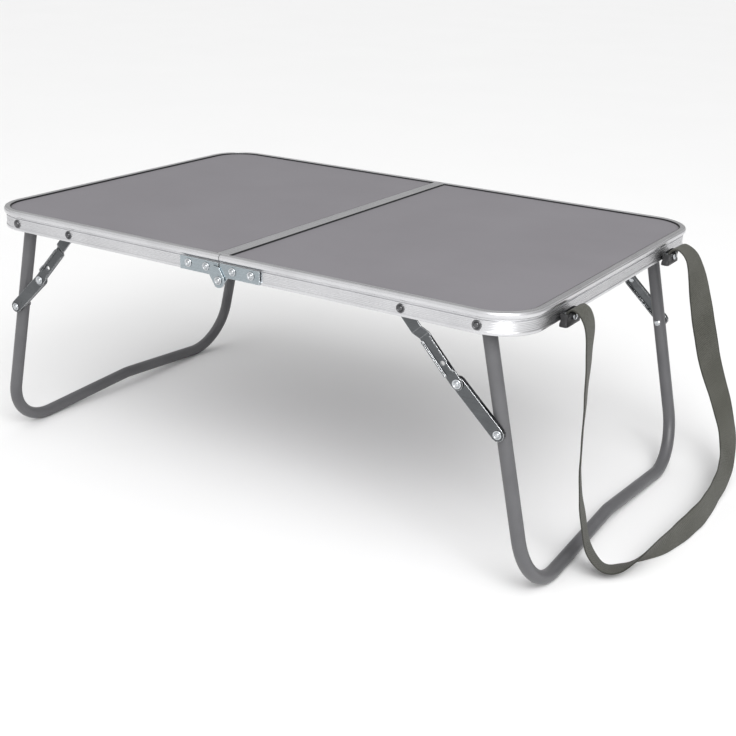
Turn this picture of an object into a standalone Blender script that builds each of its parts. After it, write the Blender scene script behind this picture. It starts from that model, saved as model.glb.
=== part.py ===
"""Folding picnic table: a two-leaf top that folds at a centre seam, on two U-frame legs.

Units are metres and +Z is up.  The table's length lies along X, the visible seam hinge faces -Y,
and the origin is on the floor under the middle of the top.
"""

import math

import bmesh
import bpy
from mathutils import Matrix, Vector

# ---- driving dimensions -------------------------------------------------------------------------
TOP_LENGTH = 0.600
TOP_WIDTH = 0.400
TABLE_HEIGHT = 0.256
CORNER_RADIUS = 0.042

GAP = 0.0003  # between pieces that touch
SEAM_GAP = 0.0003  # from the seam plane to each half

RIM_HEIGHT = 0.020
LIP_WIDTH = 0.006
LIP_THICKNESS = 0.0015
BEAD_HEIGHT = 0.0062
WEB_RECESS = 0.0024  # bead's outer face to the web's outer face
WEB_THICKNESS = 0.0016
FOOT_BEAD_RECESS = 0.0016
FOOT_BEAD_HEIGHT = 0.0028
FLANGE_THICKNESS = 0.0012
FLANGE_REACH = 0.012
PANEL_THICKNESS = 0.003
PANEL_MARGIN_PLAY = 0.0008  # lip's edge to the open part
PANEL_RELIEF = 0.0001  # step from the board's covered margin up to its open part
STRIP_DEPTH = 0.012

SPLAY = math.radians(12.5)
LEG_PIVOT_X = 0.2585
PIVOT_DROP = 0.013  # rivet line below the top of the lip
TUBE_RADIUS = 0.00625
TUBE_WALL = 0.001
LEG_INSET = 0.0215  # bead's outer face to the tube's centre line
LEG_OVERHANG = 0.0045  # tube above its pivot
FOOT_BEND_RADIUS = 0.052
FOOT_FACET = 0.00015  # how far the faceted bend stands inside a round one
RAIL_RISE = 0.0085
RAIL_BEND_RADIUS = 0.070

BRACE_PIVOT_X = 0.188
BRACE_DROP = 0.0945  # leg pivot to the brace's rivet, along the leg
BRACE_SLACK = 0.0001  # how much longer than straight the two links are
UPPER_WIDTH = 0.011
LOWER_WIDTH = 0.012
LINK_THICKNESS = 0.0012
CHANNEL_DEPTH = 0.0042
JOGGLE_START = 0.048  # from the elbow towards the rim
JOGGLE_LENGTH = 0.007
SIGHT_HOLE_RADIUS = 0.002
SIGHT_HOLE_PLACE = 0.0205  # from the elbow towards the rim
FLANGE_START = 0.010  # raised edges of the upper link, from the elbow
FLANGE_STOP_SHORT = 0.003  # of the joggle
FLANGE_HEIGHT = 0.0018
LUG_START = 0.012  # stop lug on the upper link, from the elbow
LUG_FINISH = 0.019
LUG_HEIGHT = 0.0032
FLUSH_SHARE = 0.9995  # of the half width, so that an added edge isn't coplanar with the strip's
END_ALLOWANCE = 0.002  # blank left beyond a rounded end before it is cut

RIVET_RADIUS = 0.002
RIVET_HEAD_RADIUS = 0.004
RIVET_HEAD_HEIGHT = 0.0017
PIVOT_RADIUS = 0.0025
HOLE_CLEARANCE = 0.0003
SPACER_WALL = 0.002
SPACER_PLAY = 0.0008  # to the web, which has begun to turn into its corner

LEAF_LENGTH = 0.045
LEAF_THICKNESS = 0.0012
LEAF_TOP_DROP = 0.0073
LEAF_BOTTOM_DROP = 0.0198
KNUCKLE_DROP = 0.0232
KNUCKLE_RADIUS = 0.007
LEAF_RIVETS = (0.0150, 0.0355)

BRACKET_HEIGHT = 0.0115
BRACKET_TOP_DROP = 0.0125
BRACKET_WALL = 0.0012
SCREW_HEAD_RADIUS = 0.0035
SCREW_HEAD_HEIGHT = 0.0018
SCREW_DROP = 0.0165

STRAP_WIDTH = 0.025
STRAP_THICKNESS = 0.0013
STRAP_STEPS = 87

# The strap's middle line, from the front bracket to the rear one, and beside each point the
# direction of its width.
STRAP_ROUTE = (
    ((0.3045, -0.1170, 0.2345), (0.00, 1.00, 0.00)),
    ((0.3045, -0.1170, 0.2425), (0.00, 1.00, 0.00)),
    ((0.3060, -0.1170, 0.2458), (0.00, 1.00, 0.00)),
    ((0.3105, -0.1164, 0.2468), (0.00, 1.00, 0.00)),
    ((0.3158, -0.1148, 0.2415), (-0.03, 1.00, 0.00)),
    ((0.3194, -0.1130, 0.2290), (-0.10, 0.99, 0.00)),
    ((0.3205, -0.1110, 0.2020), (-0.22, 0.97, 0.00)),
    ((0.3198, -0.1090, 0.1500), (-0.34, 0.94, 0.00)),
    ((0.3212, -0.1070, 0.0870), (-0.36, 0.93, 0.05)),
    ((0.3262, -0.1060, 0.0560), (-0.28, 0.95, 0.08)),
    ((0.3334, -0.1040, 0.0280), (-0.30, 0.94, 0.08)),
    ((0.3430, -0.0980, 0.0110), (-0.48, 0.86, 0.04)),
    ((0.3525, -0.0890, 0.0055), (-0.70, 0.68, -0.18)),
    ((0.3620, -0.0750, 0.0080), (-0.72, 0.45, -0.53)),
    ((0.3710, -0.0550, 0.0125), (-0.42, 0.18, -0.88)),
    ((0.3785, -0.0290, 0.0140), (-0.06, 0.03, -1.00)),
    ((0.3835, 0.0070, 0.0140), (0.18, 0.00, -0.98)),
    ((0.3850, 0.0560, 0.0142), (0.26, 0.06, -0.96)),
    ((0.3820, 0.1030, 0.0165), (0.28, 0.20, -0.94)),
    ((0.3750, 0.1500, 0.0240), (0.46, 0.50, -0.74)),
    ((0.3640, 0.1830, 0.0410), (0.60, 0.66, -0.46)),
    ((0.3478, 0.1950, 0.0750), (0.70, 0.70, -0.14)),
    ((0.3350, 0.1880, 0.1140), (0.74, 0.67, 0.04)),
    ((0.3268, 0.1730, 0.1610), (0.72, 0.69, 0.05)),
    ((0.3226, 0.1580, 0.2000), (0.52, 0.85, 0.08)),
    ((0.3180, 0.1430, 0.2310), (0.18, 0.98, 0.12)),
    ((0.3120, 0.1260, 0.2466), (0.00, 1.00, 0.06)),
    ((0.3062, 0.1180, 0.2462), (0.00, 1.00, 0.00)),
    ((0.3045, 0.1170, 0.2425), (0.00, 1.00, 0.00)),
    ((0.3045, 0.1170, 0.2345), (0.00, 1.00, 0.00)),
)

# ---- sizes worked out from the driving ones -----------------------------------------------------
BRACKET_Y = abs(STRAP_ROUTE[0][0][1])
HALF_LENGTH = TOP_LENGTH / 2
HALF_WIDTH = TOP_WIDTH / 2
RIVET_LINE = TABLE_HEIGHT - PIVOT_DROP
WEB_OUT = HALF_WIDTH - WEB_RECESS  # |Y| of the web's outer face
WEB_IN = WEB_OUT - WEB_THICKNESS
PANEL_TOP = TABLE_HEIGHT - LIP_THICKNESS - GAP
PANEL_BOTTOM = PANEL_TOP - PANEL_THICKNESS
PANEL_INSET = WEB_RECESS + 0.001 + GAP  # bead's outer face to the board's edge
FLANGE_TOP = PANEL_BOTTOM - GAP
FLANGE_BOTTOM = FLANGE_TOP - FLANGE_THICKNESS
TUBE_Y = HALF_WIDTH - LEG_INSET
TUBE_OUT = TUBE_Y + TUBE_RADIUS
TUBE_IN = TUBE_Y - TUBE_RADIUS
CYLINDER_SIDES = 12
FOOT_BASE = TUBE_RADIUS - FOOT_FACET  # floor to the foot's centre line
LEG_REACH = (RIVET_LINE - FOOT_BASE) / math.cos(SPLAY)  # pivot to the lowest centre line

LEG_PIVOT = Vector((LEG_PIVOT_X, 0, RIVET_LINE))
BRACE_PIVOT = Vector((BRACE_PIVOT_X, 0, RIVET_LINE))
LEG_RIVET = LEG_PIVOT + BRACE_DROP * Vector((math.sin(SPLAY), 0, -math.cos(SPLAY)))
LINK_SPAN = (LEG_RIVET - BRACE_PIVOT).length
FOLD_OFFSET = BRACE_DROP - (LEG_PIVOT_X - BRACE_PIVOT_X)  # upper link less lower link, to fold flat
UPPER_LENGTH = (LINK_SPAN + BRACE_SLACK + FOLD_OFFSET) / 2
LOWER_LENGTH = (LINK_SPAN + BRACE_SLACK - FOLD_OFFSET) / 2


def elbow_point():
    """Where the two links meet: the crossing of their circles on the side away from the leg pivot."""
    along = (LEG_RIVET - BRACE_PIVOT).normalized()
    reach = (UPPER_LENGTH**2 - LOWER_LENGTH**2 + LINK_SPAN**2) / (2 * LINK_SPAN)
    offset = math.sqrt(UPPER_LENGTH**2 - reach**2)
    away = Vector((along.z, 0, -along.x))
    return BRACE_PIVOT + reach * along + offset * away


ELBOW = elbow_point()

# Layers of the brace between the web and the tube, as |Y| of each outer face.
RIM_PLANE = WEB_IN - GAP
LOWER_PLANE = TUBE_OUT + 0.0005 + CHANNEL_DEPTH
UPPER_PLANE = LOWER_PLANE + GAP + LINK_THICKNESS


# ---- helpers ------------------------------------------------------------------------------------
def clear_scene():
    for thing in list(bpy.data.objects):
        bpy.data.objects.remove(thing)


def new_collection(name):
    group = bpy.data.collections.new(name)
    bpy.context.scene.collection.children.link(group)
    return group


def new_material(name, colour, roughness, metallic):
    made = bpy.data.materials.new(name)
    made.use_nodes = True
    shader = made.node_tree.nodes["Principled BSDF"]
    shader.inputs["Base Color"].default_value = (*colour, 1)
    shader.inputs["Roughness"].default_value = roughness
    shader.inputs["Metallic"].default_value = metallic
    made.diffuse_color = (*colour, 1)
    return made


def add_object(name, mesh, material=None, matrix=None, group=None):
    made = bpy.data.objects.new(name, mesh)
    (group or PARTS).objects.link(made)
    if material:
        mesh.materials.clear()
        mesh.materials.append(material)
    if matrix:
        mesh.transform(matrix)
        if matrix.determinant() < 0:
            mesh.flip_normals()
    return made


def mesh_from(bm, name):
    bmesh.ops.recalc_face_normals(bm, faces=bm.faces)
    mesh = bpy.data.meshes.new(name)
    bm.to_mesh(mesh)
    bm.free()
    return mesh


def mesh_of_curve(curve):
    """The evaluated mesh of a curve, with its caps welded on."""
    holder = bpy.data.objects.new(curve.name, curve)
    GUIDES.objects.link(holder)
    bpy.context.view_layer.update()
    seen = holder.evaluated_get(bpy.context.evaluated_depsgraph_get())
    mesh = bpy.data.meshes.new_from_object(seen)
    bpy.data.objects.remove(holder)
    bm = bmesh.new()
    bm.from_mesh(mesh)
    bmesh.ops.remove_doubles(bm, verts=bm.verts, dist=0.00001)
    bmesh.ops.recalc_face_normals(bm, faces=bm.faces)
    bm.to_mesh(mesh)
    bm.free()
    return mesh


def circle(centre, radius, sides=CYLINDER_SIDES):
    turn = 2 * math.pi / sides
    return [
        (centre[0] + radius * math.cos(turn * i), centre[1] + radius * math.sin(turn * i))
        for i in range(sides)
    ]


def arc(centre, radius, start, end, steps):
    angles = [start + (end - start) * i / steps for i in range(steps + 1)]
    return [(centre[0] + radius * math.cos(a), centre[1] + radius * math.sin(a)) for a in angles]


def capsule(start, end, radius, steps=6):
    """A slot-shaped outline round two points on the local X axis."""
    half = math.pi / 2
    return arc((end, 0), radius, -half, half, steps) + arc((start, 0), radius, half, 3 * half, steps)


def plate(name, outlines, thickness):
    """A flat plate on the local XY plane: the first outline is its edge and the rest are holes."""
    curve = bpy.data.curves.new(name, "CURVE")
    curve.dimensions = "2D"
    curve.fill_mode = "BOTH"
    curve.extrude = thickness / 2
    for outline in outlines:
        spline = curve.splines.new("POLY")
        spline.points.add(len(outline) - 1)
        for point, (x, y) in zip(spline.points, outline):
            point.co = (x, y, 0, 1)
        spline.use_cyclic_u = True
    return mesh_of_curve(curve)


def tube(name, points, radius, sides_level):
    curve = bpy.data.curves.new(name, "CURVE")
    curve.dimensions = "3D"
    curve.twist_mode = "MINIMUM"
    curve.bevel_depth = radius
    curve.bevel_resolution = sides_level
    curve.use_fill_caps = True
    spline = curve.splines.new("POLY")
    spline.points.add(len(points) - 1)
    for point, place in zip(spline.points, points):
        point.co = (*place, 1)
    return mesh_of_curve(curve)


def box(name, low, high):
    bm = bmesh.new()
    bmesh.ops.create_cube(bm, size=1)
    size = [b - a for a, b in zip(low, high)]
    middle = [(a + b) / 2 for a, b in zip(low, high)]
    bmesh.ops.scale(bm, vec=size, verts=bm.verts)
    bmesh.ops.translate(bm, vec=middle, verts=bm.verts)
    return mesh_from(bm, name)


def turned(name, profile, sides=CYLINDER_SIDES):
    """A solid turned about the local Z axis from (radius, height) points, top first."""
    bm = bmesh.new()
    verts = [bm.verts.new((r, 0, z)) for r, z in profile]
    edges = [bm.edges.new(pair) for pair in zip(verts, verts[1:])]
    bmesh.ops.spin(
        bm, geom=verts + edges, cent=(0, 0, 0), axis=(0, 0, 1), angle=2 * math.pi, steps=sides
    )
    bmesh.ops.remove_doubles(bm, verts=bm.verts, dist=0.000001)
    return mesh_from(bm, name)


def cut(target, cutter_mesh, operation="DIFFERENCE"):
    cutter = add_object(target.name + "_cutter", cutter_mesh, group=CUTTERS)
    cutter.hide_render = True
    cutter.display_type = "WIRE"
    step = target.modifiers.new("cut", "BOOLEAN")
    step.operation = operation
    step.solver = "EXACT"
    step.object = cutter


def applied(target):
    """Replace an object's mesh by its evaluated one, so that it can be copied."""
    bpy.context.view_layer.update()
    seen = target.evaluated_get(bpy.context.evaluated_depsgraph_get())
    mesh = bpy.data.meshes.new_from_object(seen)
    for step in list(target.modifiers):
        bpy.data.objects.remove(step.object)
    bpy.data.objects.remove(target)
    return mesh


def cylinder_y(radius, low_y, high_y, x, z, sides=CYLINDER_SIDES):
    """A cylinder along Y, as a cutter."""
    bm = bmesh.new()
    bmesh.ops.create_cone(
        bm, cap_ends=True, segments=sides, radius1=radius, radius2=radius, depth=high_y - low_y
    )
    turn = Matrix.Translation((x, (low_y + high_y) / 2, z)) @ Matrix.Rotation(math.pi / 2, 4, "X")
    bmesh.ops.transform(bm, matrix=turn, verts=bm.verts)
    return mesh_from(bm, "drill")


def joined(meshes):
    """One mesh that holds several cutters that don't meet."""
    bm = bmesh.new()
    for mesh in meshes:
        bm.from_mesh(mesh)
    return mesh_from(bm, "cutters")


# Signs that carry a piece drawn for the right front quarter to the other three.
SIDES = (("left", -1), ("right", 1))
ENDS = (("front", 1), ("rear", -1))


def quarter(side, end):
    return Matrix.Diagonal((side, end, 1, 1))


def facing_out(x, y, z):
    """Stands a piece drawn on local XY with +Z outward against the front, at a place."""
    return Matrix.Translation((x, -y, z)) @ Matrix.Rotation(math.pi / 2, 4, "X")


# ---- top ----------------------------------------------------------------------------------------
def rim_section():
    """The rim's section as (depth inward from the bead's outer face, drop below the lip's top)."""
    bead = WEB_RECESS
    web_in = WEB_RECESS + WEB_THICKNESS
    groove = WEB_RECESS + 0.001
    flange_top = TABLE_HEIGHT - FLANGE_TOP
    flange_bottom = TABLE_HEIGHT - FLANGE_BOTTOM
    foot_top = RIM_HEIGHT - FOOT_BEAD_HEIGHT
    return [
        (LIP_WIDTH, LIP_THICKNESS),
        (LIP_WIDTH, 0.0004),
        (LIP_WIDTH - 0.0004, 0),
        (0.0022, 0),
        (0.0009, 0.0005),
        (0.0002, 0.0017),
        (0, 0.0030),
        (0.0003, 0.0045),
        (0.0012, BEAD_HEIGHT - 0.0005),
        (bead, BEAD_HEIGHT),
        (bead, foot_top),
        (FOOT_BEAD_RECESS, foot_top + 0.0006),
        (FOOT_BEAD_RECESS, RIM_HEIGHT - 0.0006),
        (bead, RIM_HEIGHT),
        (web_in - 0.0003, RIM_HEIGHT),
        (web_in, RIM_HEIGHT - 0.0004),
        (web_in, flange_bottom),
        (FLANGE_REACH, flange_bottom),
        (FLANGE_REACH, flange_top),
        (groove, flange_top),
        (groove, LIP_THICKNESS),
    ]


def extend(bm, cap, step):
    """Push a cap face along a vector and give back the new cap."""
    made = bmesh.ops.extrude_face_region(bm, geom=[cap])
    verts = [v for v in made["geom"] if isinstance(v, bmesh.types.BMVert)]
    bmesh.ops.translate(bm, verts=verts, vec=step)
    if cap.is_valid and any(len(edge.link_faces) > 2 for edge in cap.edges):
        bm.faces.remove(cap)
    return next(f for f in made["geom"] if isinstance(f, bmesh.types.BMFace))


def bend(bm, cap, centre, angle, steps):
    """Carry a cap face round a vertical axis and give back the new cap."""
    made = bmesh.ops.spin(
        bm,
        geom=[cap] + list(cap.edges) + list(cap.verts),
        cent=centre,
        axis=(0, 0, 1),
        angle=angle,
        steps=steps,
        use_duplicate=False,
    )
    return next(f for f in made["geom_last"] if isinstance(f, bmesh.types.BMFace))


def rim_mesh():
    """The right half's rim: along the front, round both corners and back along the rear."""
    bm = bmesh.new()
    verts = [
        bm.verts.new((SEAM_GAP, depth - HALF_WIDTH, TABLE_HEIGHT - drop))
        for depth, drop in rim_section()
    ]
    cap = bm.faces.new(verts)
    straight = HALF_LENGTH - CORNER_RADIUS - SEAM_GAP
    corner = HALF_LENGTH - CORNER_RADIUS
    across = 2 * (HALF_WIDTH - CORNER_RADIUS)
    cap = extend(bm, cap, (straight, 0, 0))
    cap = bend(bm, cap, (corner, CORNER_RADIUS - HALF_WIDTH, 0), math.pi / 2, 8)
    cap = extend(bm, cap, (0, across, 0))
    cap = bend(bm, cap, (corner, HALF_WIDTH - CORNER_RADIUS, 0), math.pi / 2, 8)
    extend(bm, cap, (-straight, 0, 0))
    bmesh.ops.remove_doubles(bm, verts=bm.verts, dist=0.000001)
    rim = add_object("rim_blank", mesh_from(bm, "rim"))
    low = WEB_IN - 0.002
    high = WEB_OUT + 0.004
    drills = []
    for end in (-1, 1):
        span = sorted((end * low, end * high))
        for x in LEAF_RIVETS:
            drills.append(cylinder_y(RIVET_RADIUS + HOLE_CLEARANCE, *span, x, RIVET_LINE))
        drills.append(
            cylinder_y(RIVET_RADIUS + HOLE_CLEARANCE, *span, BRACE_PIVOT_X, RIVET_LINE)
        )
        drills.append(cylinder_y(PIVOT_RADIUS + HOLE_CLEARANCE, *span, LEG_PIVOT_X, RIVET_LINE))
        end_web = HALF_LENGTH - WEB_RECESS - WEB_THICKNESS
        drills.append(drill_x(end_web - 0.002, HALF_LENGTH + 0.002, end * BRACKET_Y))
    cut(rim, joined(drills))
    return applied(rim)


def panel_mesh():
    """The right half's laminated board, with the two outer corners rounded."""
    inset = PANEL_INSET
    left = SEAM_GAP + WEB_THICKNESS + GAP
    right = HALF_LENGTH - inset
    reach = HALF_WIDTH - inset
    radius = CORNER_RADIUS - inset
    half = math.pi / 2
    outline = [(left, -reach)]
    outline += arc((right - radius, radius - reach), radius, -half, 0, 10)
    outline += arc((right - radius, reach - radius), radius, 0, half, 10)
    outline += [(left, reach)]
    blank = PANEL_THICKNESS - PANEL_RELIEF
    mesh = plate("panel", [outline], blank)
    mesh.transform(Matrix.Translation((0, 0, PANEL_BOTTOM + blank / 2)))
    bm = bmesh.new()
    bm.from_mesh(mesh)
    top = [face for face in bm.faces if face.normal.z > 0.9]
    margin = LIP_WIDTH - left + PANEL_MARGIN_PLAY  # the open part stays clear of the lips
    bmesh.ops.inset_region(
        bm, faces=top, thickness=margin, depth=PANEL_RELIEF, use_boundary=True, use_even_offset=True
    )
    return mesh_from(bm, "panel")


def strip_mesh():
    """The seam strip of the right half: a lip over the board's edge, a web, and a flange under it."""
    web = SEAM_GAP + WEB_THICKNESS
    section = [
        (LIP_WIDTH, LIP_THICKNESS),
        (LIP_WIDTH, 0.0004),
        (LIP_WIDTH - 0.0004, 0),
        (SEAM_GAP + 0.0006, 0),
        (SEAM_GAP, 0.0006),
        (SEAM_GAP, STRIP_DEPTH),
        (web, STRIP_DEPTH),
        (web, TABLE_HEIGHT - FLANGE_BOTTOM),
        (FLANGE_REACH, TABLE_HEIGHT - FLANGE_BOTTOM),
        (FLANGE_REACH, TABLE_HEIGHT - FLANGE_TOP),
        (web, TABLE_HEIGHT - FLANGE_TOP),
        (web, LIP_THICKNESS),
    ]
    reach = HALF_WIDTH - LIP_WIDTH - GAP
    bm = bmesh.new()
    verts = [bm.verts.new((x, -reach, TABLE_HEIGHT - drop)) for x, drop in section]
    extend(bm, bm.faces.new(verts), (0, 2 * reach, 0))
    strip = add_object("strip_blank", mesh_from(bm, "strip"))
    inner = HALF_WIDTH - FLANGE_REACH - GAP
    ends = [
        box(
            "end",
            (-0.001, min(end * inner, end * HALF_WIDTH), TABLE_HEIGHT - RIM_HEIGHT),
            (FLANGE_REACH + 0.002, max(end * inner, end * HALF_WIDTH), PANEL_TOP),
        )
        for end in (-1, 1)
    ]
    cut(strip, joined(ends))
    return applied(strip)


# ---- legs ---------------------------------------------------------------------------------------
def leg_line():
    """The right leg's centre line in its own plane, as (y, distance down from the pivot)."""
    rise = math.atan2(RAIL_RISE, TUBE_Y - FOOT_BEND_RADIUS)
    bend_drop = LEG_REACH - FOOT_BEND_RADIUS
    centre_y = TUBE_Y - FOOT_BEND_RADIUS
    half = [(TUBE_Y, -LEG_OVERHANG), (TUBE_Y, bend_drop * 0.5)]
    steps = 8
    turns = [math.pi / 2 * i / steps for i in range(steps + 1)] + [math.pi / 2 + rise]
    for angle in turns:
        half.append(
            (
                centre_y + FOOT_BEND_RADIUS * math.cos(angle),
                bend_drop + FOOT_BEND_RADIUS * math.sin(angle),
            )
        )
    crest_y = RAIL_BEND_RADIUS * math.sin(rise)
    last_y, last_drop = half[-1]
    crest_drop = last_drop - (last_y - crest_y) * math.tan(rise)
    half.append((crest_y, crest_drop))
    half.append((0, crest_drop - RAIL_BEND_RADIUS * (1 - math.cos(rise))))
    other = [(-y, drop) for y, drop in reversed(half[:-1])]
    return half + other


def leg_mesh():
    """The right leg, splayed out from its pivot: a bent tube with open ends and drilled sides."""
    outward = math.sin(SPLAY)
    down = math.cos(SPLAY)
    points = [
        (LEG_PIVOT_X + drop * outward, y, RIVET_LINE - drop * down) for y, drop in leg_line()
    ]
    leg = add_object("leg_blank", tube("leg", points, TUBE_RADIUS, 4))
    ends = [points[0], points[-1]]
    longer = [Vector(p) + 0.002 * Vector((-outward, 0, down)) for p in ends]
    bore = tube(
        "bore", [longer[0]] + points[1:-1] + [longer[1]], TUBE_RADIUS - TUBE_WALL, 2
    )
    cut(leg, bore)
    radius = PIVOT_RADIUS + HOLE_CLEARANCE
    small = RIVET_RADIUS + HOLE_CLEARANCE
    drills = []
    for end in (-1, 1):
        through = sorted((end * (TUBE_IN - 0.003), end * (TUBE_OUT + 0.003)))
        inner = sorted((end * (TUBE_IN - 0.003), end * (TUBE_IN + 0.003)))
        drills.append(cylinder_y(radius, *through, LEG_PIVOT_X, RIVET_LINE))
        drills.append(cylinder_y(small, *inner, LEG_RIVET.x, LEG_RIVET.z))
    cut(leg, joined(drills))
    return applied(leg)


# ---- braces -------------------------------------------------------------------------------------
def link_frame(start, end):
    """Local X along a link from start to end and local Z towards the outside, on the front."""
    along = (end - start).normalized()
    outward = Vector((0, -1, 0))
    side = outward.cross(along)
    turn = Matrix((along, side, outward)).transposed().to_4x4()
    return Matrix.Translation(start) @ turn


def upper_link_mesh():
    """A strip that steps from the rim's plane to the elbow's, with raised edges and a sight hole."""
    length = UPPER_LENGTH
    low = UPPER_PLANE - LINK_THICKNESS  # |Y| of the inner face at the elbow
    rise = RIM_PLANE - UPPER_PLANE
    end_radius = UPPER_WIDTH / 2
    reach = end_radius + END_ALLOWANCE
    step_start = JOGGLE_START
    step_end = JOGGLE_START + JOGGLE_LENGTH
    side = [
        (-reach, 0),
        (step_start, 0),
        (step_end, rise),
        (length + reach, rise),
        (length + reach, rise + LINK_THICKNESS),
        (step_end, rise + LINK_THICKNESS),
        (step_start, LINK_THICKNESS),
        (-reach, LINK_THICKNESS),
    ]
    strip = plate("upper", [side], UPPER_WIDTH * 2)
    strip.transform(Matrix.Rotation(math.pi / 2, 4, "X"))
    link = add_object("upper_blank", strip)
    hole = RIVET_RADIUS + HOLE_CLEARANCE
    outline = plate(
        "upper_outline",
        [
            capsule(0, length, end_radius),
            circle((0, 0), hole),
            circle((length, 0), hole),
            circle((SIGHT_HOLE_PLACE, 0), SIGHT_HOLE_RADIUS),
        ],
        0.06,
    )
    cut(link, outline, "INTERSECT")
    edge = UPPER_WIDTH / 2
    raised = (FLANGE_START, JOGGLE_START - FLANGE_STOP_SHORT, FLANGE_HEIGHT)
    lug = (LUG_START, LUG_FINISH, LUG_HEIGHT)
    for sign, (start, finish, height) in ((1, raised), (-1, raised), (-1, lug)):
        inner, outer = sorted((sign * (edge - LINK_THICKNESS), sign * edge * FLUSH_SHARE))
        cut(
            link,
            box("edge", (start, inner, LINK_THICKNESS / 2), (finish, outer, LINK_THICKNESS + height)),
            "UNION",
        )
    mesh = applied(link)
    mesh.transform(Matrix.Translation((0, 0, low)))
    return mesh


def lower_link_mesh():
    """A pressed channel with a closed rim, open towards the tube."""
    length = LOWER_LENGTH
    radius = LOWER_WIDTH / 2
    hole = RIVET_RADIUS + HOLE_CLEARANCE
    blank = plate(
        "lower", [capsule(0, length, radius), circle((0, 0), hole), circle((length, 0), hole)],
        CHANNEL_DEPTH,
    )
    blank.transform(Matrix.Translation((0, 0, LOWER_PLANE - CHANNEL_DEPTH / 2)))
    link = add_object("lower_blank", blank)
    pocket = plate("pocket", [capsule(0, length, radius - LINK_THICKNESS)], CHANNEL_DEPTH)
    top = LOWER_PLANE - LINK_THICKNESS
    pocket.transform(Matrix.Translation((0, 0, top - CHANNEL_DEPTH / 2)))
    cut(link, pocket)
    return applied(link)


# ---- fasteners ----------------------------------------------------------------------------------
def rivet_mesh(head_face, tail_face, radius, head_radius, tail_radius, tail_height, step=None):
    """A rivet along the outward axis, domed at both ends; heights are |Y| of the faces it holds."""
    top = head_face + RIVET_HEAD_HEIGHT
    bottom = tail_face - tail_height
    profile = [
        (0, top),
        (head_radius * 0.55, head_face + RIVET_HEAD_HEIGHT * 0.84),
        (head_radius * 0.88, head_face + RIVET_HEAD_HEIGHT * 0.46),
        (head_radius, head_face + GAP),
        (radius, head_face + GAP),
    ]
    if step:
        wide, high, low = step
        profile += [(radius, high), (wide, high), (wide, low), (radius, low)]
    if tail_height > 0:
        profile += [
            (radius, tail_face - GAP),
            (tail_radius, tail_face - GAP),
            (tail_radius * 0.7, tail_face - tail_height * 0.8),
        ]
        profile += [(0, bottom)]
    else:
        profile += [(radius, tail_face), (0, tail_face)]
    return turned("rivet", profile)


# ---- seam hinge ---------------------------------------------------------------------------------
def leaf_outline(clear_radius):
    """The leaf's plate on the right half, cut away round the other leaf's knuckle if asked."""
    top = -LEAF_TOP_DROP
    bottom = -LEAF_BOTTOM_DROP
    near = SEAM_GAP + 0.0005
    if not clear_radius:
        return [(near, bottom), (LEAF_LENGTH, bottom), (LEAF_LENGTH, top), (near, top)]
    start = math.asin((KNUCKLE_DROP - LEAF_BOTTOM_DROP) / clear_radius)
    finish = math.acos(near / clear_radius)
    curve = arc((0, -KNUCKLE_DROP), clear_radius, finish, start, 6)
    return curve + [(LEAF_LENGTH, bottom), (LEAF_LENGTH, top), (near, top)]


def knuckle_outline(front_layer):
    """A round lobe on the pin with a neck that runs up its own leaf."""
    finish = math.radians(150 if front_layer else 95)
    start = math.radians(298)
    lobe = arc((0, -KNUCKLE_DROP), KNUCKLE_RADIUS, finish, start, 10)
    if front_layer:
        crest = [(0.0060, -0.0102), (-0.0010, -0.0112)]
    else:
        crest = [(0.0012, -0.0120)]
    return lobe + [(0.0104, -0.0187), (0.0100, -0.0125)] + crest


def leaf_mesh(front_layer):
    """A seam leaf drawn on the right half; its knuckle lies in the plate's layer or in front."""
    holes = [circle((x, -PIVOT_DROP), RIVET_RADIUS + HOLE_CLEARANCE) for x in LEAF_RIVETS]
    pin_hole = circle((0, -KNUCKLE_DROP), RIVET_RADIUS + HOLE_CLEARANCE)
    clear = KNUCKLE_RADIUS + 3 * GAP if front_layer else 0
    base = LEAF_THICKNESS / 2
    leaf = add_object("leaf_blank", plate("leaf", [leaf_outline(clear)] + holes, LEAF_THICKNESS))
    if front_layer:
        lobe = plate("lobe", [knuckle_outline(True), pin_hole], LEAF_THICKNESS)
        lobe.transform(Matrix.Translation((0, 0, LEAF_THICKNESS + GAP)))
        cut(leaf, lobe, "UNION")
        bridge = plate(
            "bridge",
            [[(0.0084, -0.0185), (0.0100, -0.0185), (0.0096, -0.0130), (0.0080, -0.0130)]],
            LEAF_THICKNESS + GAP,
        )
        bridge.transform(Matrix.Translation((0, 0, (LEAF_THICKNESS + GAP) / 2)))
        cut(leaf, bridge, "UNION")
    else:
        lobe = plate("lobe", [knuckle_outline(False), pin_hole], LEAF_THICKNESS * 0.98)
        cut(leaf, lobe, "UNION")
    mesh = applied(leaf)
    mesh.transform(Matrix.Translation((0, 0, base)))
    return mesh


# ---- strap and its brackets ---------------------------------------------------------------------
def bracket_mesh():
    """A short square sleeve against the rim's end, which the strap's end is pushed into."""
    inside = STRAP_WIDTH / 2 + GAP
    outside = inside + BRACKET_WALL
    base = HALF_LENGTH - FOOT_BEAD_RECESS + GAP
    bar = bracket_bar()
    far = bar + BRACKET_WALL
    near = base + BRACKET_WALL
    edge = [(base, -outside), (far, -outside), (far, outside), (base, outside)]
    hollow = [(near, -inside), (bar, -inside), (bar, inside), (near, inside)]
    mesh = plate("bracket", [edge, hollow], BRACKET_HEIGHT)
    middle = TABLE_HEIGHT - BRACKET_TOP_DROP - BRACKET_HEIGHT / 2
    mesh.transform(Matrix.Translation((0, 0, middle)))
    bracket = add_object("bracket_blank", mesh)
    cut(bracket, drill_x(base - 0.001, far + 0.001, 0))
    return applied(bracket)


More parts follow.
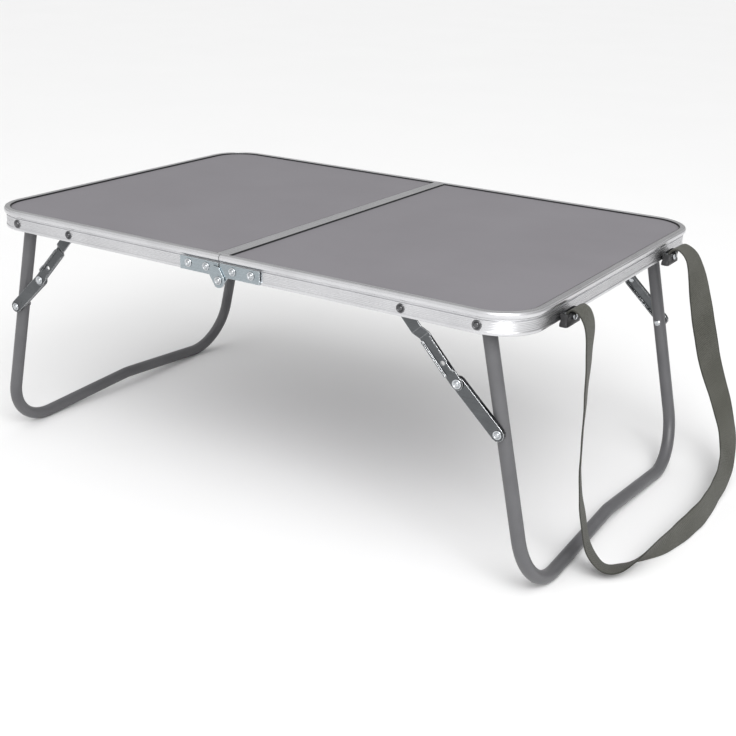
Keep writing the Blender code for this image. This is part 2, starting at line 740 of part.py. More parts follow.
def drill_x(low, high, y):
    """A cutter along X for a bracket screw's hole."""
    drill = cylinder_y(RIVET_RADIUS + HOLE_CLEARANCE, -high, -low, y, TABLE_HEIGHT - SCREW_DROP)
    drill.transform(Matrix.Rotation(math.pi / 2, 4, "Z"))
    return drill


def bracket_bar():
    """X of the bridge's inner face: just outside the strap's end."""
    return STRAP_ROUTE[0][0][0] + STRAP_THICKNESS / 2 + GAP


def screw_mesh():
    """The bracket's pan-head screw, drawn along local Z and laid along X."""
    seat = bracket_bar() + BRACKET_WALL
    tip = HALF_LENGTH - WEB_RECESS - WEB_THICKNESS - 0.0015
    head = SCREW_HEAD_RADIUS
    profile = [
        (0, seat + SCREW_HEAD_HEIGHT),
        (head * 0.7, seat + SCREW_HEAD_HEIGHT * 0.85),
        (head, seat + SCREW_HEAD_HEIGHT * 0.4),
        (head, seat + GAP),
        (RIVET_RADIUS, seat + GAP),
        (RIVET_RADIUS, tip),
        (0, tip),
    ]
    mesh = turned("screw", profile)
    mesh.transform(Matrix.Rotation(math.pi / 2, 4, "Y"))
    return mesh


def smooth_point(values, place):
    """Catmull-Rom interpolation of a list of vectors at a fractional index."""
    last = len(values) - 1
    i = min(int(place), last - 1)
    t = place - i
    before = values[max(i - 1, 0)]
    start = values[i]
    end = values[i + 1]
    after = values[min(i + 2, last)]
    return 0.5 * (
        2 * start
        + (end - before) * t
        + (2 * before - 5 * start + 4 * end - after) * t**2
        + (3 * start - before - 3 * end + after) * t**3
    )


def strap_object():
    """A flat ribbon through the route, given its thickness by a Solidify."""
    places = [Vector(point) for point, _ in STRAP_ROUTE]
    widths = [Vector(width).normalized() for _, width in STRAP_ROUTE]
    verts = []
    for i in range(STRAP_STEPS + 1):
        place = (len(places) - 1) * i / STRAP_STEPS
        middle = smooth_point(places, place)
        across = smooth_point(widths, place).normalized() * (STRAP_WIDTH / 2)
        verts += [middle - across, middle + across]
    faces = [(2 * i, 2 * i + 1, 2 * i + 3, 2 * i + 2) for i in range(STRAP_STEPS)]
    mesh = bpy.data.meshes.new("strap")
    mesh.from_pydata(verts, [], faces)
    strap = add_object("carry_strap", mesh, WEBBING)
    wall = strap.modifiers.new("thickness", "SOLIDIFY")
    wall.thickness = STRAP_THICKNESS
    wall.offset = 0
    low = STRAP_ROUTE[0][0][0] - STRAP_THICKNESS
    high = STRAP_ROUTE[0][0][0] + STRAP_THICKNESS
    cut(strap, joined([drill_x(low, high, end * BRACKET_Y) for end in (-1, 1)]))
    return strap


# ---- build --------------------------------------------------------------------------------------
clear_scene()
PARTS = new_collection("folding_table")
CUTTERS = new_collection("cutters")
GUIDES = new_collection("guides")

LAMINATE = new_material("grey_laminate", (0.29, 0.28, 0.29), 0.45, 0.0)
ALUMINIUM = new_material("satin_aluminium", (0.78, 0.78, 0.79), 0.30, 1.0)
ZINC = new_material("zinc_plate", (0.62, 0.66, 0.68), 0.28, 1.0)
BRIGHT = new_material("bright_rivet", (0.75, 0.76, 0.78), 0.18, 1.0)
LEG_PAINT = new_material("grey_powder_coat", (0.22, 0.22, 0.23), 0.50, 0.0)
BLACK = new_material("black_steel", (0.02, 0.02, 0.02), 0.40, 0.0)
NYLON = new_material("grey_nylon", (0.12, 0.12, 0.12), 0.50, 0.0)
WEBBING = new_material("olive_webbing", (0.12, 0.12, 0.10), 0.85, 0.0)


def place(name, mesh, material, matrix, origin):
    """Add a copy of a mesh, mirrored to its quarter, with its object origin on its joint."""
    copy = mesh.copy()
    made = add_object(name, copy, material, matrix)
    copy.transform(Matrix.Translation(-Vector(origin)))
    made.location = origin
    copy.shade_smooth()
    copy.set_sharp_from_angle(angle=math.radians(35))
    return made


def build_top():
    rim = rim_mesh()
    panel = panel_mesh()
    strip = strip_mesh()
    for side, sign in SIDES:
        turn = quarter(sign, 1)
        place(side + "_rim", rim, ALUMINIUM, turn, (0, 0, 0))
        place(side + "_panel", panel, LAMINATE, turn, (0, 0, 0))
        place(side + "_seam_strip", strip, ALUMINIUM, turn, (0, 0, 0))


def build_hinges():
    """The left leaf's knuckle lies in front of the right leaf's, and one rivet holds both."""
    face = HALF_WIDTH - FOOT_BEAD_RECESS + GAP
    leaf_rivet = rivet_mesh(
        face + LEAF_THICKNESS, WEB_IN, RIVET_RADIUS, RIVET_HEAD_RADIUS, 0.003, 0.0012
    )
    pin_tail = KNUCKLE_DROP - RIM_HEIGHT - 0.0005
    pin = rivet_mesh(
        face + 2 * LEAF_THICKNESS + GAP, face, RIVET_RADIUS, RIVET_HEAD_RADIUS, pin_tail, 0.0012
    )
    pin_place = (0, 0, TABLE_HEIGHT - KNUCKLE_DROP)
    leaves = {"left": leaf_mesh(True), "right": leaf_mesh(False)}
    for end, end_sign in ENDS:
        for side, sign in SIDES:
            turn = quarter(sign, end_sign)
            stand = turn @ facing_out(0, face, TABLE_HEIGHT)
            name = f"{side}_{end}_seam_leaf"
            place(name, leaves[side], ZINC, stand, pin_place)
            for number, x in enumerate(LEAF_RIVETS, 1):
                stand = turn @ facing_out(x, 0, RIVET_LINE)
                place(f"{name}_rivet_{number}", leaf_rivet, BRIGHT, stand, (0, 0, 0))
        stand = quarter(1, end_sign) @ facing_out(*pin_place)
        place(f"{end}_seam_pin", pin, BRIGHT, stand, pin_place)


def build_legs():
    leg = leg_mesh()
    pivot = rivet_mesh(
        WEB_OUT, TUBE_IN, PIVOT_RADIUS, RIVET_HEAD_RADIUS + 0.0003, RIVET_HEAD_RADIUS, 0.0012
    )
    inner = PIVOT_RADIUS + HOLE_CLEARANCE
    outer = inner + SPACER_WALL
    low = TUBE_OUT + GAP
    high = WEB_IN - SPACER_PLAY
    spacer = turned("spacer", [(inner, high), (outer, high), (outer, low), (inner, low), (inner, high)])
    for side, sign in SIDES:
        pivot_place = (sign * LEG_PIVOT_X, 0, RIVET_LINE)
        place(side + "_leg_frame", leg, LEG_PAINT, quarter(sign, 1), pivot_place)
        for end, end_sign in ENDS:
            stand = quarter(sign, end_sign) @ facing_out(LEG_PIVOT_X, 0, RIVET_LINE)
            place(f"{side}_{end}_leg_pivot", pivot, BRIGHT, stand, pivot_place)
            place(f"{side}_{end}_leg_spacer", spacer, NYLON, stand, pivot_place)


def build_braces():
    upper = upper_link_mesh()
    upper.transform(link_frame(ELBOW, BRACE_PIVOT))
    lower = lower_link_mesh()
    lower.transform(link_frame(ELBOW, LEG_RIVET))
    head = RIVET_HEAD_RADIUS
    lower_base = LOWER_PLANE - LINK_THICKNESS
    top_rivet = rivet_mesh(
        WEB_OUT, RIM_PLANE - LINK_THICKNESS, RIVET_RADIUS, head, head * 0.8, 0.0012
    )
    elbow_rivet = rivet_mesh(UPPER_PLANE, lower_base, RIVET_RADIUS, head + 0.0003, head * 0.8, 0.0012)
    leg_rivet = rivet_mesh(LOWER_PLANE, TUBE_OUT + GAP, RIVET_RADIUS, head, 0, 0)
    tail = rivet_tail_mesh()
    for side, sign in SIDES:
        for end, end_sign in ENDS:
            turn = quarter(sign, end_sign)
            name = f"{side}_{end}"
            at_rim = (sign * BRACE_PIVOT.x, 0, BRACE_PIVOT.z)
            at_elbow = (sign * ELBOW.x, 0, ELBOW.z)
            at_leg = (sign * LEG_RIVET.x, 0, LEG_RIVET.z)
            place(name + "_upper_link", upper, ZINC, turn, at_rim)
            place(name + "_lower_link", lower, ZINC, turn, at_elbow)
            stand = turn @ facing_out(BRACE_PIVOT.x, 0, BRACE_PIVOT.z)
            place(name + "_brace_rim_rivet", top_rivet, BRIGHT, stand, at_rim)
            stand = turn @ facing_out(ELBOW.x, 0, ELBOW.z)
            place(name + "_elbow_rivet", elbow_rivet, BRIGHT, stand, at_elbow)
            stand = turn @ facing_out(LEG_RIVET.x, 0, LEG_RIVET.z)
            place(name + "_brace_leg_rivet", leg_rivet, BRIGHT, stand, at_leg)
            place(name + "_brace_leg_rivet_tail", tail, BRIGHT, stand, at_leg)


def rivet_tail_mesh():
    """The half of the brace's leg rivet that stays in the tube: a shank and a domed tail."""
    wall_in = TUBE_IN + TUBE_WALL
    radius = RIVET_HEAD_RADIUS * 0.8
    height = 0.0012
    profile = [
        (0, wall_in + 0.001),
        (RIVET_RADIUS, wall_in + 0.001),
        (RIVET_RADIUS, TUBE_IN - GAP),
        (radius, TUBE_IN - GAP),
        (radius * 0.7, TUBE_IN - height * 0.8),
        (0, TUBE_IN - height),
    ]
    return turned("tail", profile)


def build_strap():
    bracket = bracket_mesh()
    screw = screw_mesh()
    for end, end_sign in ENDS:
        turn = Matrix.Translation((0, -end_sign * BRACKET_Y, 0))
        place(end + "_strap_bracket", bracket, BLACK, turn, (0, 0, 0))
        turn = Matrix.Translation((0, -end_sign * BRACKET_Y, TABLE_HEIGHT - SCREW_DROP))
        place(end + "_strap_screw", screw, BRIGHT, turn, (0, 0, 0))
    strap_object()


build_top()
build_hinges()
build_legs()
build_braces()
build_strap()
bpy.data.collections.remove(GUIDES)
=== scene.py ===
import math

import bmesh
import bpy
import numpy as np
from mathutils import Matrix, Vector


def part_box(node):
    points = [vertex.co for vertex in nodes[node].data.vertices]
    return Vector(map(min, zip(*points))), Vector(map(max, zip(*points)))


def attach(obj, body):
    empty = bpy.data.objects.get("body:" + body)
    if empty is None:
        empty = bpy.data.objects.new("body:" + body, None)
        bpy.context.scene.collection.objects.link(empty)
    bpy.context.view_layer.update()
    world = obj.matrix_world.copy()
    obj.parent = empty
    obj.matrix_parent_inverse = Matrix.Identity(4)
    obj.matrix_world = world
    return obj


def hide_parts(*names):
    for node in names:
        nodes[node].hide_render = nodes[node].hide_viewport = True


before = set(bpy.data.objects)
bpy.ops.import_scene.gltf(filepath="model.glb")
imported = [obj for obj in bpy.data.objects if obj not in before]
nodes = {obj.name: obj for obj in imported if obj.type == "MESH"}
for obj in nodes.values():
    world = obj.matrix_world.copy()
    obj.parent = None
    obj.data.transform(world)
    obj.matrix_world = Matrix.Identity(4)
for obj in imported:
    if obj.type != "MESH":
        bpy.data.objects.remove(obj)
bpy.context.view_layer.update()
sides = {"left": -1.0, "right": 1.0}
ends = ("front", "rear")
print("frame loaded:", len(nodes), "nodes")


# A small table seen from its front right corner, a little above the top.
cameraSetup = {
    "place": (0.6865, -1.0347, 0.5541),
    "azimuth": 32.243,
    "elevation": 20.492,
    "roll": 1.688,
    "lens": 61.2,
    "sensor": 36.0,
    "clipStart": 0.01,
}


# The view runs along the azimuth and down by the elevation, and rolls about its own axis.
def makeCamera(setup):
    turn = math.radians(setup["azimuth"])
    tilt = math.radians(setup["elevation"])
    level = Vector((math.cos(turn), math.sin(turn), 0))
    ahead = Vector((-math.sin(turn), math.cos(turn), 0))
    forward = ahead * math.cos(tilt) - Vector((0, 0, math.sin(tilt)))
    axes = Matrix((level, level.cross(forward), -forward)).transposed()
    axes = axes @ Matrix.Rotation(math.radians(setup["roll"]), 3, "Z")
    data = bpy.data.cameras.new("camera")
    data.lens = setup["lens"]
    data.sensor_width = setup["sensor"]
    data.clip_start = setup["clipStart"]
    holder = bpy.data.objects.new("camera", data)
    bpy.context.scene.collection.objects.link(holder)
    holder.matrix_world = Matrix.Translation(setup["place"]) @ axes.to_4x4()
    bpy.context.scene.camera = holder


makeCamera(cameraSetup)
print("camera set")


meshSetup = {"weld": 1e-6, "sliver": 1e-7}


# Corner numbers of the quads between neighbouring grid points, row by row. The columns wrap.
def gridFaces(rows, columns, wrapRows):
    r = np.arange(rows if wrapRows else rows - 1)[:, None]
    c = np.arange(columns)[None, :]
    here = r * columns + c
    right = r * columns + (c + 1) % columns
    up = (r + 1) % rows * columns + c
    across = (r + 1) % rows * columns + (c + 1) % columns
    return np.stack([here, right, across, up], -1).reshape(-1, 4)


# A piece from a grid of points whose columns go all the way round. Rows that don't wrap are
# closed by one face at each end. An edge stays hard where its faces turn by more than sharp.
def putPiece(name, grid, material, sharp, wrapRows=False, capped=True, uv=None):
    rows, columns = grid.shape[:2]
    faces = gridFaces(rows, columns, wrapRows).tolist()
    if capped and not wrapRows:
        faces.append(list(range(columns))[::-1])
        faces.append(list(range((rows - 1) * columns, rows * columns)))
    mesh = bpy.data.meshes.new(name)
    mesh.from_pydata(grid.reshape(-1, 3).tolist(), [], faces)
    if uv is not None:
        corners = np.empty(len(mesh.loops), dtype=np.int32)
        mesh.loops.foreach_get("vertex_index", corners)
        layer = mesh.uv_layers.new(name="surface")
        layer.data.foreach_set("uv", uv.reshape(-1, 2)[corners].astype(np.float32).ravel())
    return finishMesh(name, mesh, material, sharp)


# Weld, turn the faces outwards, smooth, and link the piece with its material.
def finishMesh(name, mesh, material, sharp):
    work = bmesh.new()
    work.from_mesh(mesh)
    bmesh.ops.remove_doubles(work, verts=work.verts, dist=meshSetup["weld"])
    bmesh.ops.dissolve_degenerate(work, edges=work.edges, dist=meshSetup["sliver"])
    bmesh.ops.recalc_face_normals(work, faces=work.faces)
    work.to_mesh(mesh)
    work.free()
    mesh.shade_smooth()
    mesh.set_sharp_from_angle(angle=math.radians(sharp))
    mesh.materials.append(material)
    piece = bpy.data.objects.new(name, mesh)
    bpy.context.scene.collection.objects.link(piece)
    return piece


# A closed outline with each corner replaced by a parabola tangent to both its sides, which
# starts at most just under half a side away.
def roundedLine(points, radii, steps):
    mostOfSide = 0.49
    corner = np.asarray(points, float)
    before = np.roll(corner, 1, 0) - corner
    after = np.roll(corner, -1, 0) - corner
    lengthBefore = np.linalg.norm(before, axis=1, keepdims=True)
    lengthAfter = np.linalg.norm(after, axis=1, keepdims=True)
    radius = np.asarray(radii, float).reshape(-1, 1) * np.ones((len(corner), 1))
    radius = np.minimum(radius, mostOfSide * np.minimum(lengthBefore, lengthAfter))
    start = (corner + before / lengthBefore * radius)[:, None, :]
    stop = (corner + after / lengthAfter * radius)[:, None, :]
    t = np.linspace(0, 1, steps)[None, :, None]
    curve = (1 - t) ** 2 * start + 2 * t * (1 - t) * corner[:, None, :] + t**2 * stop
    return curve.reshape(-1, 2)


# Distance along a line of points, starting at nought.
def runLengths(points):
    return np.concatenate([[0], np.cumsum(np.linalg.norm(np.diff(points, axis=0), axis=1))])


# The middle line from the front bracket to the rear one, and beside each point the way that the
# webbing's width runs there. The same route is in the part's source.
strapRoute = (
    ((0.3045, -0.1170, 0.2345), (0.00, 1.00, 0.00)),
    ((0.3045, -0.1170, 0.2425), (0.00, 1.00, 0.00)),
    ((0.3060, -0.1170, 0.2458), (0.00, 1.00, 0.00)),
    ((0.3105, -0.1164, 0.2468), (0.00, 1.00, 0.00)),
    ((0.3158, -0.1148, 0.2415), (-0.03, 1.00, 0.00)),
    ((0.3194, -0.1130, 0.2290), (-0.10, 0.99, 0.00)),
    ((0.3205, -0.1110, 0.2020), (-0.22, 0.97, 0.00)),
    ((0.3198, -0.1090, 0.1500), (-0.34, 0.94, 0.00)),
    ((0.3212, -0.1070, 0.0870), (-0.36, 0.93, 0.05)),
    ((0.3262, -0.1060, 0.0560), (-0.28, 0.95, 0.08)),
    ((0.3334, -0.1040, 0.0280), (-0.30, 0.94, 0.08)),
    ((0.3430, -0.0980, 0.0110), (-0.48, 0.86, 0.04)),
    ((0.3525, -0.0890, 0.0055), (-0.70, 0.68, -0.18)),
    ((0.3620, -0.0750, 0.0080), (-0.72, 0.45, -0.53)),
    ((0.3710, -0.0550, 0.0125), (-0.42, 0.18, -0.88)),
    ((0.3785, -0.0290, 0.0140), (-0.06, 0.03, -1.00)),
    ((0.3835, 0.0070, 0.0140), (0.18, 0.00, -0.98)),
    ((0.3850, 0.0560, 0.0142), (0.26, 0.06, -0.96)),
    ((0.3820, 0.1030, 0.0165), (0.28, 0.20, -0.94)),
    ((0.3750, 0.1500, 0.0240), (0.46, 0.50, -0.74)),
    ((0.3640, 0.1830, 0.0410), (0.60, 0.66, -0.46)),
    ((0.3478, 0.1950, 0.0750), (0.70, 0.70, -0.14)),
    ((0.3350, 0.1880, 0.1140), (0.74, 0.67, 0.04)),
    ((0.3268, 0.1730, 0.1610), (0.72, 0.69, 0.05)),
    ((0.3226, 0.1580, 0.2000), (0.52, 0.85, 0.08)),
    ((0.3180, 0.1430, 0.2310), (0.18, 0.98, 0.12)),
    ((0.3120, 0.1260, 0.2466), (0.00, 1.00, 0.06)),
    ((0.3062, 0.1180, 0.2462), (0.00, 1.00, 0.00)),
    ((0.3045, 0.1170, 0.2425), (0.00, 1.00, 0.00)),
    ((0.3045, 0.1170, 0.2345), (0.00, 1.00, 0.00)),
)
strapSetup = {
    "width": 0.025,
    "thickness": 0.0013,
    "selvedge": 0.0016,  # width of the firmer edge on each side
    "stations": 520,
    "across": 22,
    "edgePower": 6,  # how late the selvedge thins
    "edgeReach": 0.995,  # the thinning stops just short of the edge
    "ripple": 0.00035,
    "ripples": ((1.0, 71, 0.0), (0.6, 173, 1.3)),  # share, turns in radians per metre, start
    "rippleFade": 0.05,  # length over which the ripple dies out at each end
    "clearance": 0.0004,  # above the floor
    "sharp": 60,
}


# Catmull-Rom curve through the rows of values, at evenly spaced places along the list.
def smoothThrough(values, count):
    v = np.asarray(values, float)
    place = np.linspace(0, len(v) - 1, count)
    i = np.minimum(place.astype(int), len(v) - 2)
    t = (place - i)[:, None]
    a, b, c, d = v[np.maximum(i - 1, 0)], v[i], v[i + 1], v[np.minimum(i + 2, len(v) - 1)]
    return 0.5 * (
        2 * b + (c - a) * t + (2 * a - 5 * b + 4 * c - d) * t**2 + (3 * b - a - 3 * c + d) * t**3
    )


# Each row over its own length.
def unit(v):
    return v / np.linalg.norm(v, axis=-1, keepdims=True)


# A flat oval section carried along the route: its width follows the listed directions, its
# faces are even, its edges are rounded and a little firmer, and it ripples very slightly.
def makeStrap(setup, material):
    middle = smoothThrough([p for p, _ in strapRoute], setup["stations"])
    width = unit(smoothThrough([unit(np.array(w)) for _, w in strapRoute], setup["stations"]))
    along = unit(np.gradient(middle, axis=0))
    face = unit(np.cross(along, width))
    half, thick = setup["width"] / 2, setup["thickness"] / 2
    v = np.linspace(-1, 1, setup["across"])
    edge = np.clip((np.abs(v) * half - (half - setup["selvedge"])) / setup["selvedge"], 0, 1)
    thinned = np.minimum(edge, setup["edgeReach"]) ** setup["edgePower"]
    bulge = thick * np.sqrt(1 - thinned)
    upper = np.stack([v * half, bulge], 1)
    ring = np.concatenate([upper, upper[::-1] * [1, -1]])
    run = runLengths(middle)
    fade = np.clip(np.minimum(run, run[-1] - run) / setup["rippleFade"], 0, 1)
    waves = sum(share * np.sin(run * turns + start) for share, turns, start in setup["ripples"])
    wave = setup["ripple"] * fade * waves
    grid = (
        middle[:, None, :]
        + ring[None, :, :1] * width[:, None, :]
        + (ring[None, :, 1:] + wave[:, None, None] * (ring[None, :, :1] / half) ** 2)
        * face[:, None, :]
    )
    grid[:, :, 2] = np.maximum(grid[:, :, 2], setup["clearance"])
    uv = np.empty(grid.shape[:2] + (2,))
    uv[:, :, 0] = run[:, None]
    uv[:, :, 1] = ring[None, :, 0]
    piece = putPiece("carry_strap_webbing", grid, material, setup["sharp"], uv=uv)
    return piece, middle, run[-1]


# An empty shader group with named sockets, and its two end nodes.
def nodeGroup(name, inputs, outputs):
    group = bpy.data.node_groups.new(name, "ShaderNodeTree")
    for way, sockets in (("INPUT", inputs), ("OUTPUT", outputs)):
        for kind, label in sockets:
            group.interface.new_socket(label, in_out=way, socket_type="NodeSocket" + kind)
    return group, group.nodes.new("NodeGroupInput"), group.nodes.new("NodeGroupOutput")


# A number or a colour is set on the socket, and another node's output is linked to it.
def feed(tree, socket, value):
    if isinstance(value, (int, float, tuple)):
        socket.default_value = value
    else:
        tree.links.new(value, socket)


# One operation on one or two values.
def mathNode(tree, operation, a, b=None, clamp=False):
    node = tree.nodes.new("ShaderNodeMath")
    node.operation = operation
    node.use_clamp = clamp
    feed(tree, node.inputs[0], a)
    if b is not None:
        feed(tree, node.inputs[1], b)
    return node.outputs[0]


# Two values added up, each times its own share.
def weighted(tree, a, shareA, b, shareB):
    first = mathNode(tree, "MULTIPLY", a, shareA)
    second = mathNode(tree, "MULTIPLY", b, shareB)
    return mathNode(tree, "ADD", first, second)


# The sine of a distance, with one full turn for each pitch.
def waveNode(tree, distance, pitch):
    return mathNode(tree, "SINE", mathNode(tree, "MULTIPLY", distance, 2 * math.pi / pitch))


# Layered noise: detail is the number of layers, and roughness how much the finer ones show.
def noiseNode(tree, vector, scale, detail, roughness):
    node = tree.nodes.new("ShaderNodeTexNoise")
    tree.links.new(vector, node.inputs["Vector"])
    for label, value in (("Scale", scale), ("Detail", detail), ("Roughness", roughness)):
        feed(tree, node.inputs[label], value)
    return node.outputs["Fac"]


# A straight-line change of scale, held at its ends: the old pair of values becomes the new pair.
def mapRange(tree, value, old, new=(0.0, 1.0)):
    node = tree.nodes.new("ShaderNodeMapRange")
    for label, number in zip(("From Min", "From Max", "To Min", "To Max"), (*old, *new)):
        feed(tree, node.inputs[label], number)
    tree.links.new(value, node.inputs["Value"])
    return node.outputs["Result"]


# The normal of a surface raised by the height value, which counts for distance metres.
def bumpNode(tree, height, strength, distance):
    node = tree.nodes.new("ShaderNodeBump")
    for label, value in (("Height", height), ("Strength", strength), ("Distance", distance)):
        feed(tree, node.inputs[label], value)
    return node.outputs["Normal"]


# The first colour where the mask is nought, and the second where it is one.
def mixColour(tree, mask, a, b):
    node = tree.nodes.new("ShaderNodeMix")
    node.data_type = "RGBA"
    tree.links.new(mask, node.inputs[0])
    for socket, value in zip(node.inputs[6:8], (a, b)):  # the colour sockets
        feed(tree, socket, (*value, 1.0) if isinstance(value, tuple) else value)
    return node.outputs[2]


# The coordinates times a scale of their own along each axis.
def stretched(tree, vector, scale):
    node = tree.nodes.new("ShaderNodeMapping")
    node.inputs["Scale"].default_value = scale
    tree.links.new(vector, node.inputs["Vector"])
    return node.outputs["Vector"]


grainSetup = {
    "grain": {"detail": 3.0, "roughness": 0.6},
    "clouds": {"detail": 4.0, "roughness": 0.55},
    "height": 0.0003,
}
drawnSetup = {
    "lineStretch": (9.0, 1500.0, 1500.0),
    "lines": {"detail": 2.0, "roughness": 0.6},
    "scuffStretch": (60.0, 260.0, 260.0),
    "scuffs": {"scale": 1.0, "detail": 5.0, "roughness": 0.65},
    "scuffRange": (0.62, 0.74),
    "clouds": {"scale": 22.0, "detail": 3.0, "roughness": 0.5},
}
# The range holds cosines of the lean: where the painted edge highlight is nought and where it is full.
edgeSetup = {"samples": 6, "highlightRange": (0.995, 0.88)}  # cosines of the lean: no wear, full wear


# Fine grain over broad clouds: a mask for each, and the normal of the grain.
def makeGrainGroup(setup):
    group, start, stop = nodeGroup(
        "fineGrain",
        [("Vector", "Vector"), ("Float", "Grain Scale"), ("Float", "Cloud Scale"), ("Float", "Depth")],
        [("Float", "Grain"), ("Float", "Clouds"), ("Vector", "Normal")],
    )
    given = start.outputs
    grain = noiseNode(group, given["Vector"], given["Grain Scale"], **setup["grain"])
    clouds = noiseNode(group, given["Vector"], given["Cloud Scale"], **setup["clouds"])
    group.links.new(grain, stop.inputs["Grain"])
    group.links.new(clouds, stop.inputs["Clouds"])
    group.links.new(bumpNode(group, grain, given["Depth"], setup["height"]), stop.inputs["Normal"])
    return group


# Hairlines along the first coordinate, as an extruded or rolled metal has, with rare scuffs.
def makeDrawnGroup(setup):
    group, start, stop = nodeGroup(
        "drawnLines",
        [("Vector", "Vector"), ("Float", "Line Scale"), ("Float", "Scuff Amount")],
        [("Float", "Lines"), ("Float", "Scuffs"), ("Float", "Clouds")],
    )
    vector = start.outputs["Vector"]
    fine = stretched(group, vector, setup["lineStretch"])
    broad = stretched(group, vector, setup["scuffStretch"])
    lines = noiseNode(group, fine, start.outputs["Line Scale"], **setup["lines"])
    scuffs = mapRange(group, noiseNode(group, broad, **setup["scuffs"]), setup["scuffRange"])
    scuffs = mathNode(group, "MULTIPLY", scuffs, start.outputs["Scuff Amount"], clamp=True)
    group.links.new(lines, stop.inputs["Lines"])
    group.links.new(scuffs, stop.inputs["Scuffs"])
    group.links.new(noiseNode(group, vector, **setup["clouds"]), stop.inputs["Clouds"])
    return group


# Softened edges: the normal is rounded over within a small reach of an edge, and the painted
# highlight mask is how far that normal leans away from the face's own.
def makeEdgeGroup(setup):
    group, start, stop = nodeGroup(
        "edgeHighlight", [("Float", "Reach")], [("Float", "Highlight"), ("Vector", "Normal")]
    )
    bevel = group.nodes.new("ShaderNodeBevel")
    bevel.samples = setup["samples"]
    group.links.new(start.outputs["Reach"], bevel.inputs["Radius"])
    lean = group.nodes.new("ShaderNodeVectorMath")
    lean.operation = "DOT_PRODUCT"
    group.links.new(bevel.outputs["Normal"], lean.inputs[0])
    group.links.new(group.nodes.new("ShaderNodeNewGeometry").outputs["Normal"], lean.inputs[1])
    highlight = mapRange(group, lean.outputs["Value"], setup["highlightRange"])
    group.links.new(highlight, stop.inputs["Highlight"])
    group.links.new(bevel.outputs["Normal"], stop.inputs["Normal"])
    return group


fineGrain = makeGrainGroup(grainSetup)
drawnLines = makeDrawnGroup(drawnSetup)
edgeHighlight = makeEdgeGroup(edgeSetup)


# A material with a Principled shader whose constant values are set on its own sockets.
def newMaterial(name, **fixed):
    material = bpy.data.materials.new(name)
    material.use_nodes = True
    shader = material.node_tree.nodes["Principled BSDF"]
    for label, value in fixed.items():
        shader.inputs[label.replace("_", " ")].default_value = value
    return material, material.node_tree, shader


# Places on the piece, in metres from the origin.
def objectCoordinates(tree):
    return tree.nodes.new("ShaderNodeTexCoord").outputs["Object"]


# Places on the surface, in metres along and round the piece.
def surfaceCoordinates(tree):
    node = tree.nodes.new("ShaderNodeUVMap")
    node.uv_map = "surface"
    return node.outputs["UV"]


# A shader group placed in a material, with its named inputs set or linked.
def placeGroup(tree, group, **inputs):
    node = tree.nodes.new("ShaderNodeGroup")
    node.node_tree = group
    for label, value in inputs.items():
        feed(tree, node.inputs[label.replace("_", " ")], value)
    return node.outputs


# What the finishes share: the noise values that count as none and as full, and how far the
# roughness goes below and above its middle value.
finishSetup = {
    "cloudRange": (0.3, 0.7),
    "grainRange": (0.2, 0.8),
    "lineRange": (0.25, 0.75),
    "smoother": 0.06,
    "rougher": 0.08,
}
metalSetup = {
    "cloudShare": 0.6,
    "lineShare": 0.4,
    "lineHeight": 0.00008,
    "edgeReach": 0.0006,
    "scuffRough": 0.18,
}


# The lowest and highest roughness round a middle value.
def roughRange(rough):
    return rough - finishSetup["smoother"], rough + finishSetup["rougher"]


# Laminate, powder coat, plastic, and the black of the painted gap shade: clouds mix two near
# tones, and a fine pebbled skin varies the roughness.
def coatMaterial(name, tone, shade, rough, depth, grainScale, cloudScale=30.0, specular=0.5):
    material, tree, shader = newMaterial(name, Metallic=0.0, Specular_IOR_Level=specular)
    vector = objectCoordinates(tree)
    out = placeGroup(
        tree, fineGrain, Vector=vector, Grain_Scale=grainScale, Cloud_Scale=cloudScale, Depth=depth
    )
    mask = mapRange(tree, out["Clouds"], finishSetup["cloudRange"])
    uneven = mapRange(tree, out["Grain"], finishSetup["grainRange"], roughRange(rough))
    tree.links.new(mixColour(tree, mask, tone, shade), shader.inputs["Base Color"])
    tree.links.new(uneven, shader.inputs["Roughness"])
    tree.links.new(out["Normal"], shader.inputs["Normal"])
    return material


# Bare metal: clouds and drawn lines mix two tones, the lines stand up a little, scuffs are
# rougher, and edges take on a painted highlight colour where one is given.
def metalMaterial(name, coordinates, tone, shade, rough, scuffs, lineScale=1.0, depth=0.12, highlightColour=None):
    setup = metalSetup
    material, tree, shader = newMaterial(name, Metallic=1.0)
    vector = coordinates(tree)
    out = placeGroup(tree, drawnLines, Vector=vector, Line_Scale=lineScale, Scuff_Amount=scuffs)
    clouds = mapRange(tree, out["Clouds"], finishSetup["cloudRange"])
    mask = weighted(tree, clouds, setup["cloudShare"], out["Lines"], setup["lineShare"])
    colour = mixColour(tree, mask, tone, shade)
    normal = bumpNode(tree, out["Lines"], depth, setup["lineHeight"])
    # Painted highlight: a bright colour mixed in along the edges, where the rounded normal leans away.
    if highlightColour:
        edge = placeGroup(tree, edgeHighlight, Reach=setup["edgeReach"])
        colour = mixColour(tree, edge["Highlight"], colour, highlightColour)
        tree.links.new(edge["Normal"], normal.node.inputs["Normal"])
    lined = mapRange(tree, out["Lines"], finishSetup["lineRange"], roughRange(rough))
    extra = mathNode(tree, "MULTIPLY", out["Scuffs"], setup["scuffRough"])
    worn = mathNode(tree, "ADD", lined, extra, clamp=True)
    tree.links.new(colour, shader.inputs["Base Color"])
    tree.links.new(worn, shader.inputs["Roughness"])
    tree.links.new(normal, shader.inputs["Normal"])
    return material


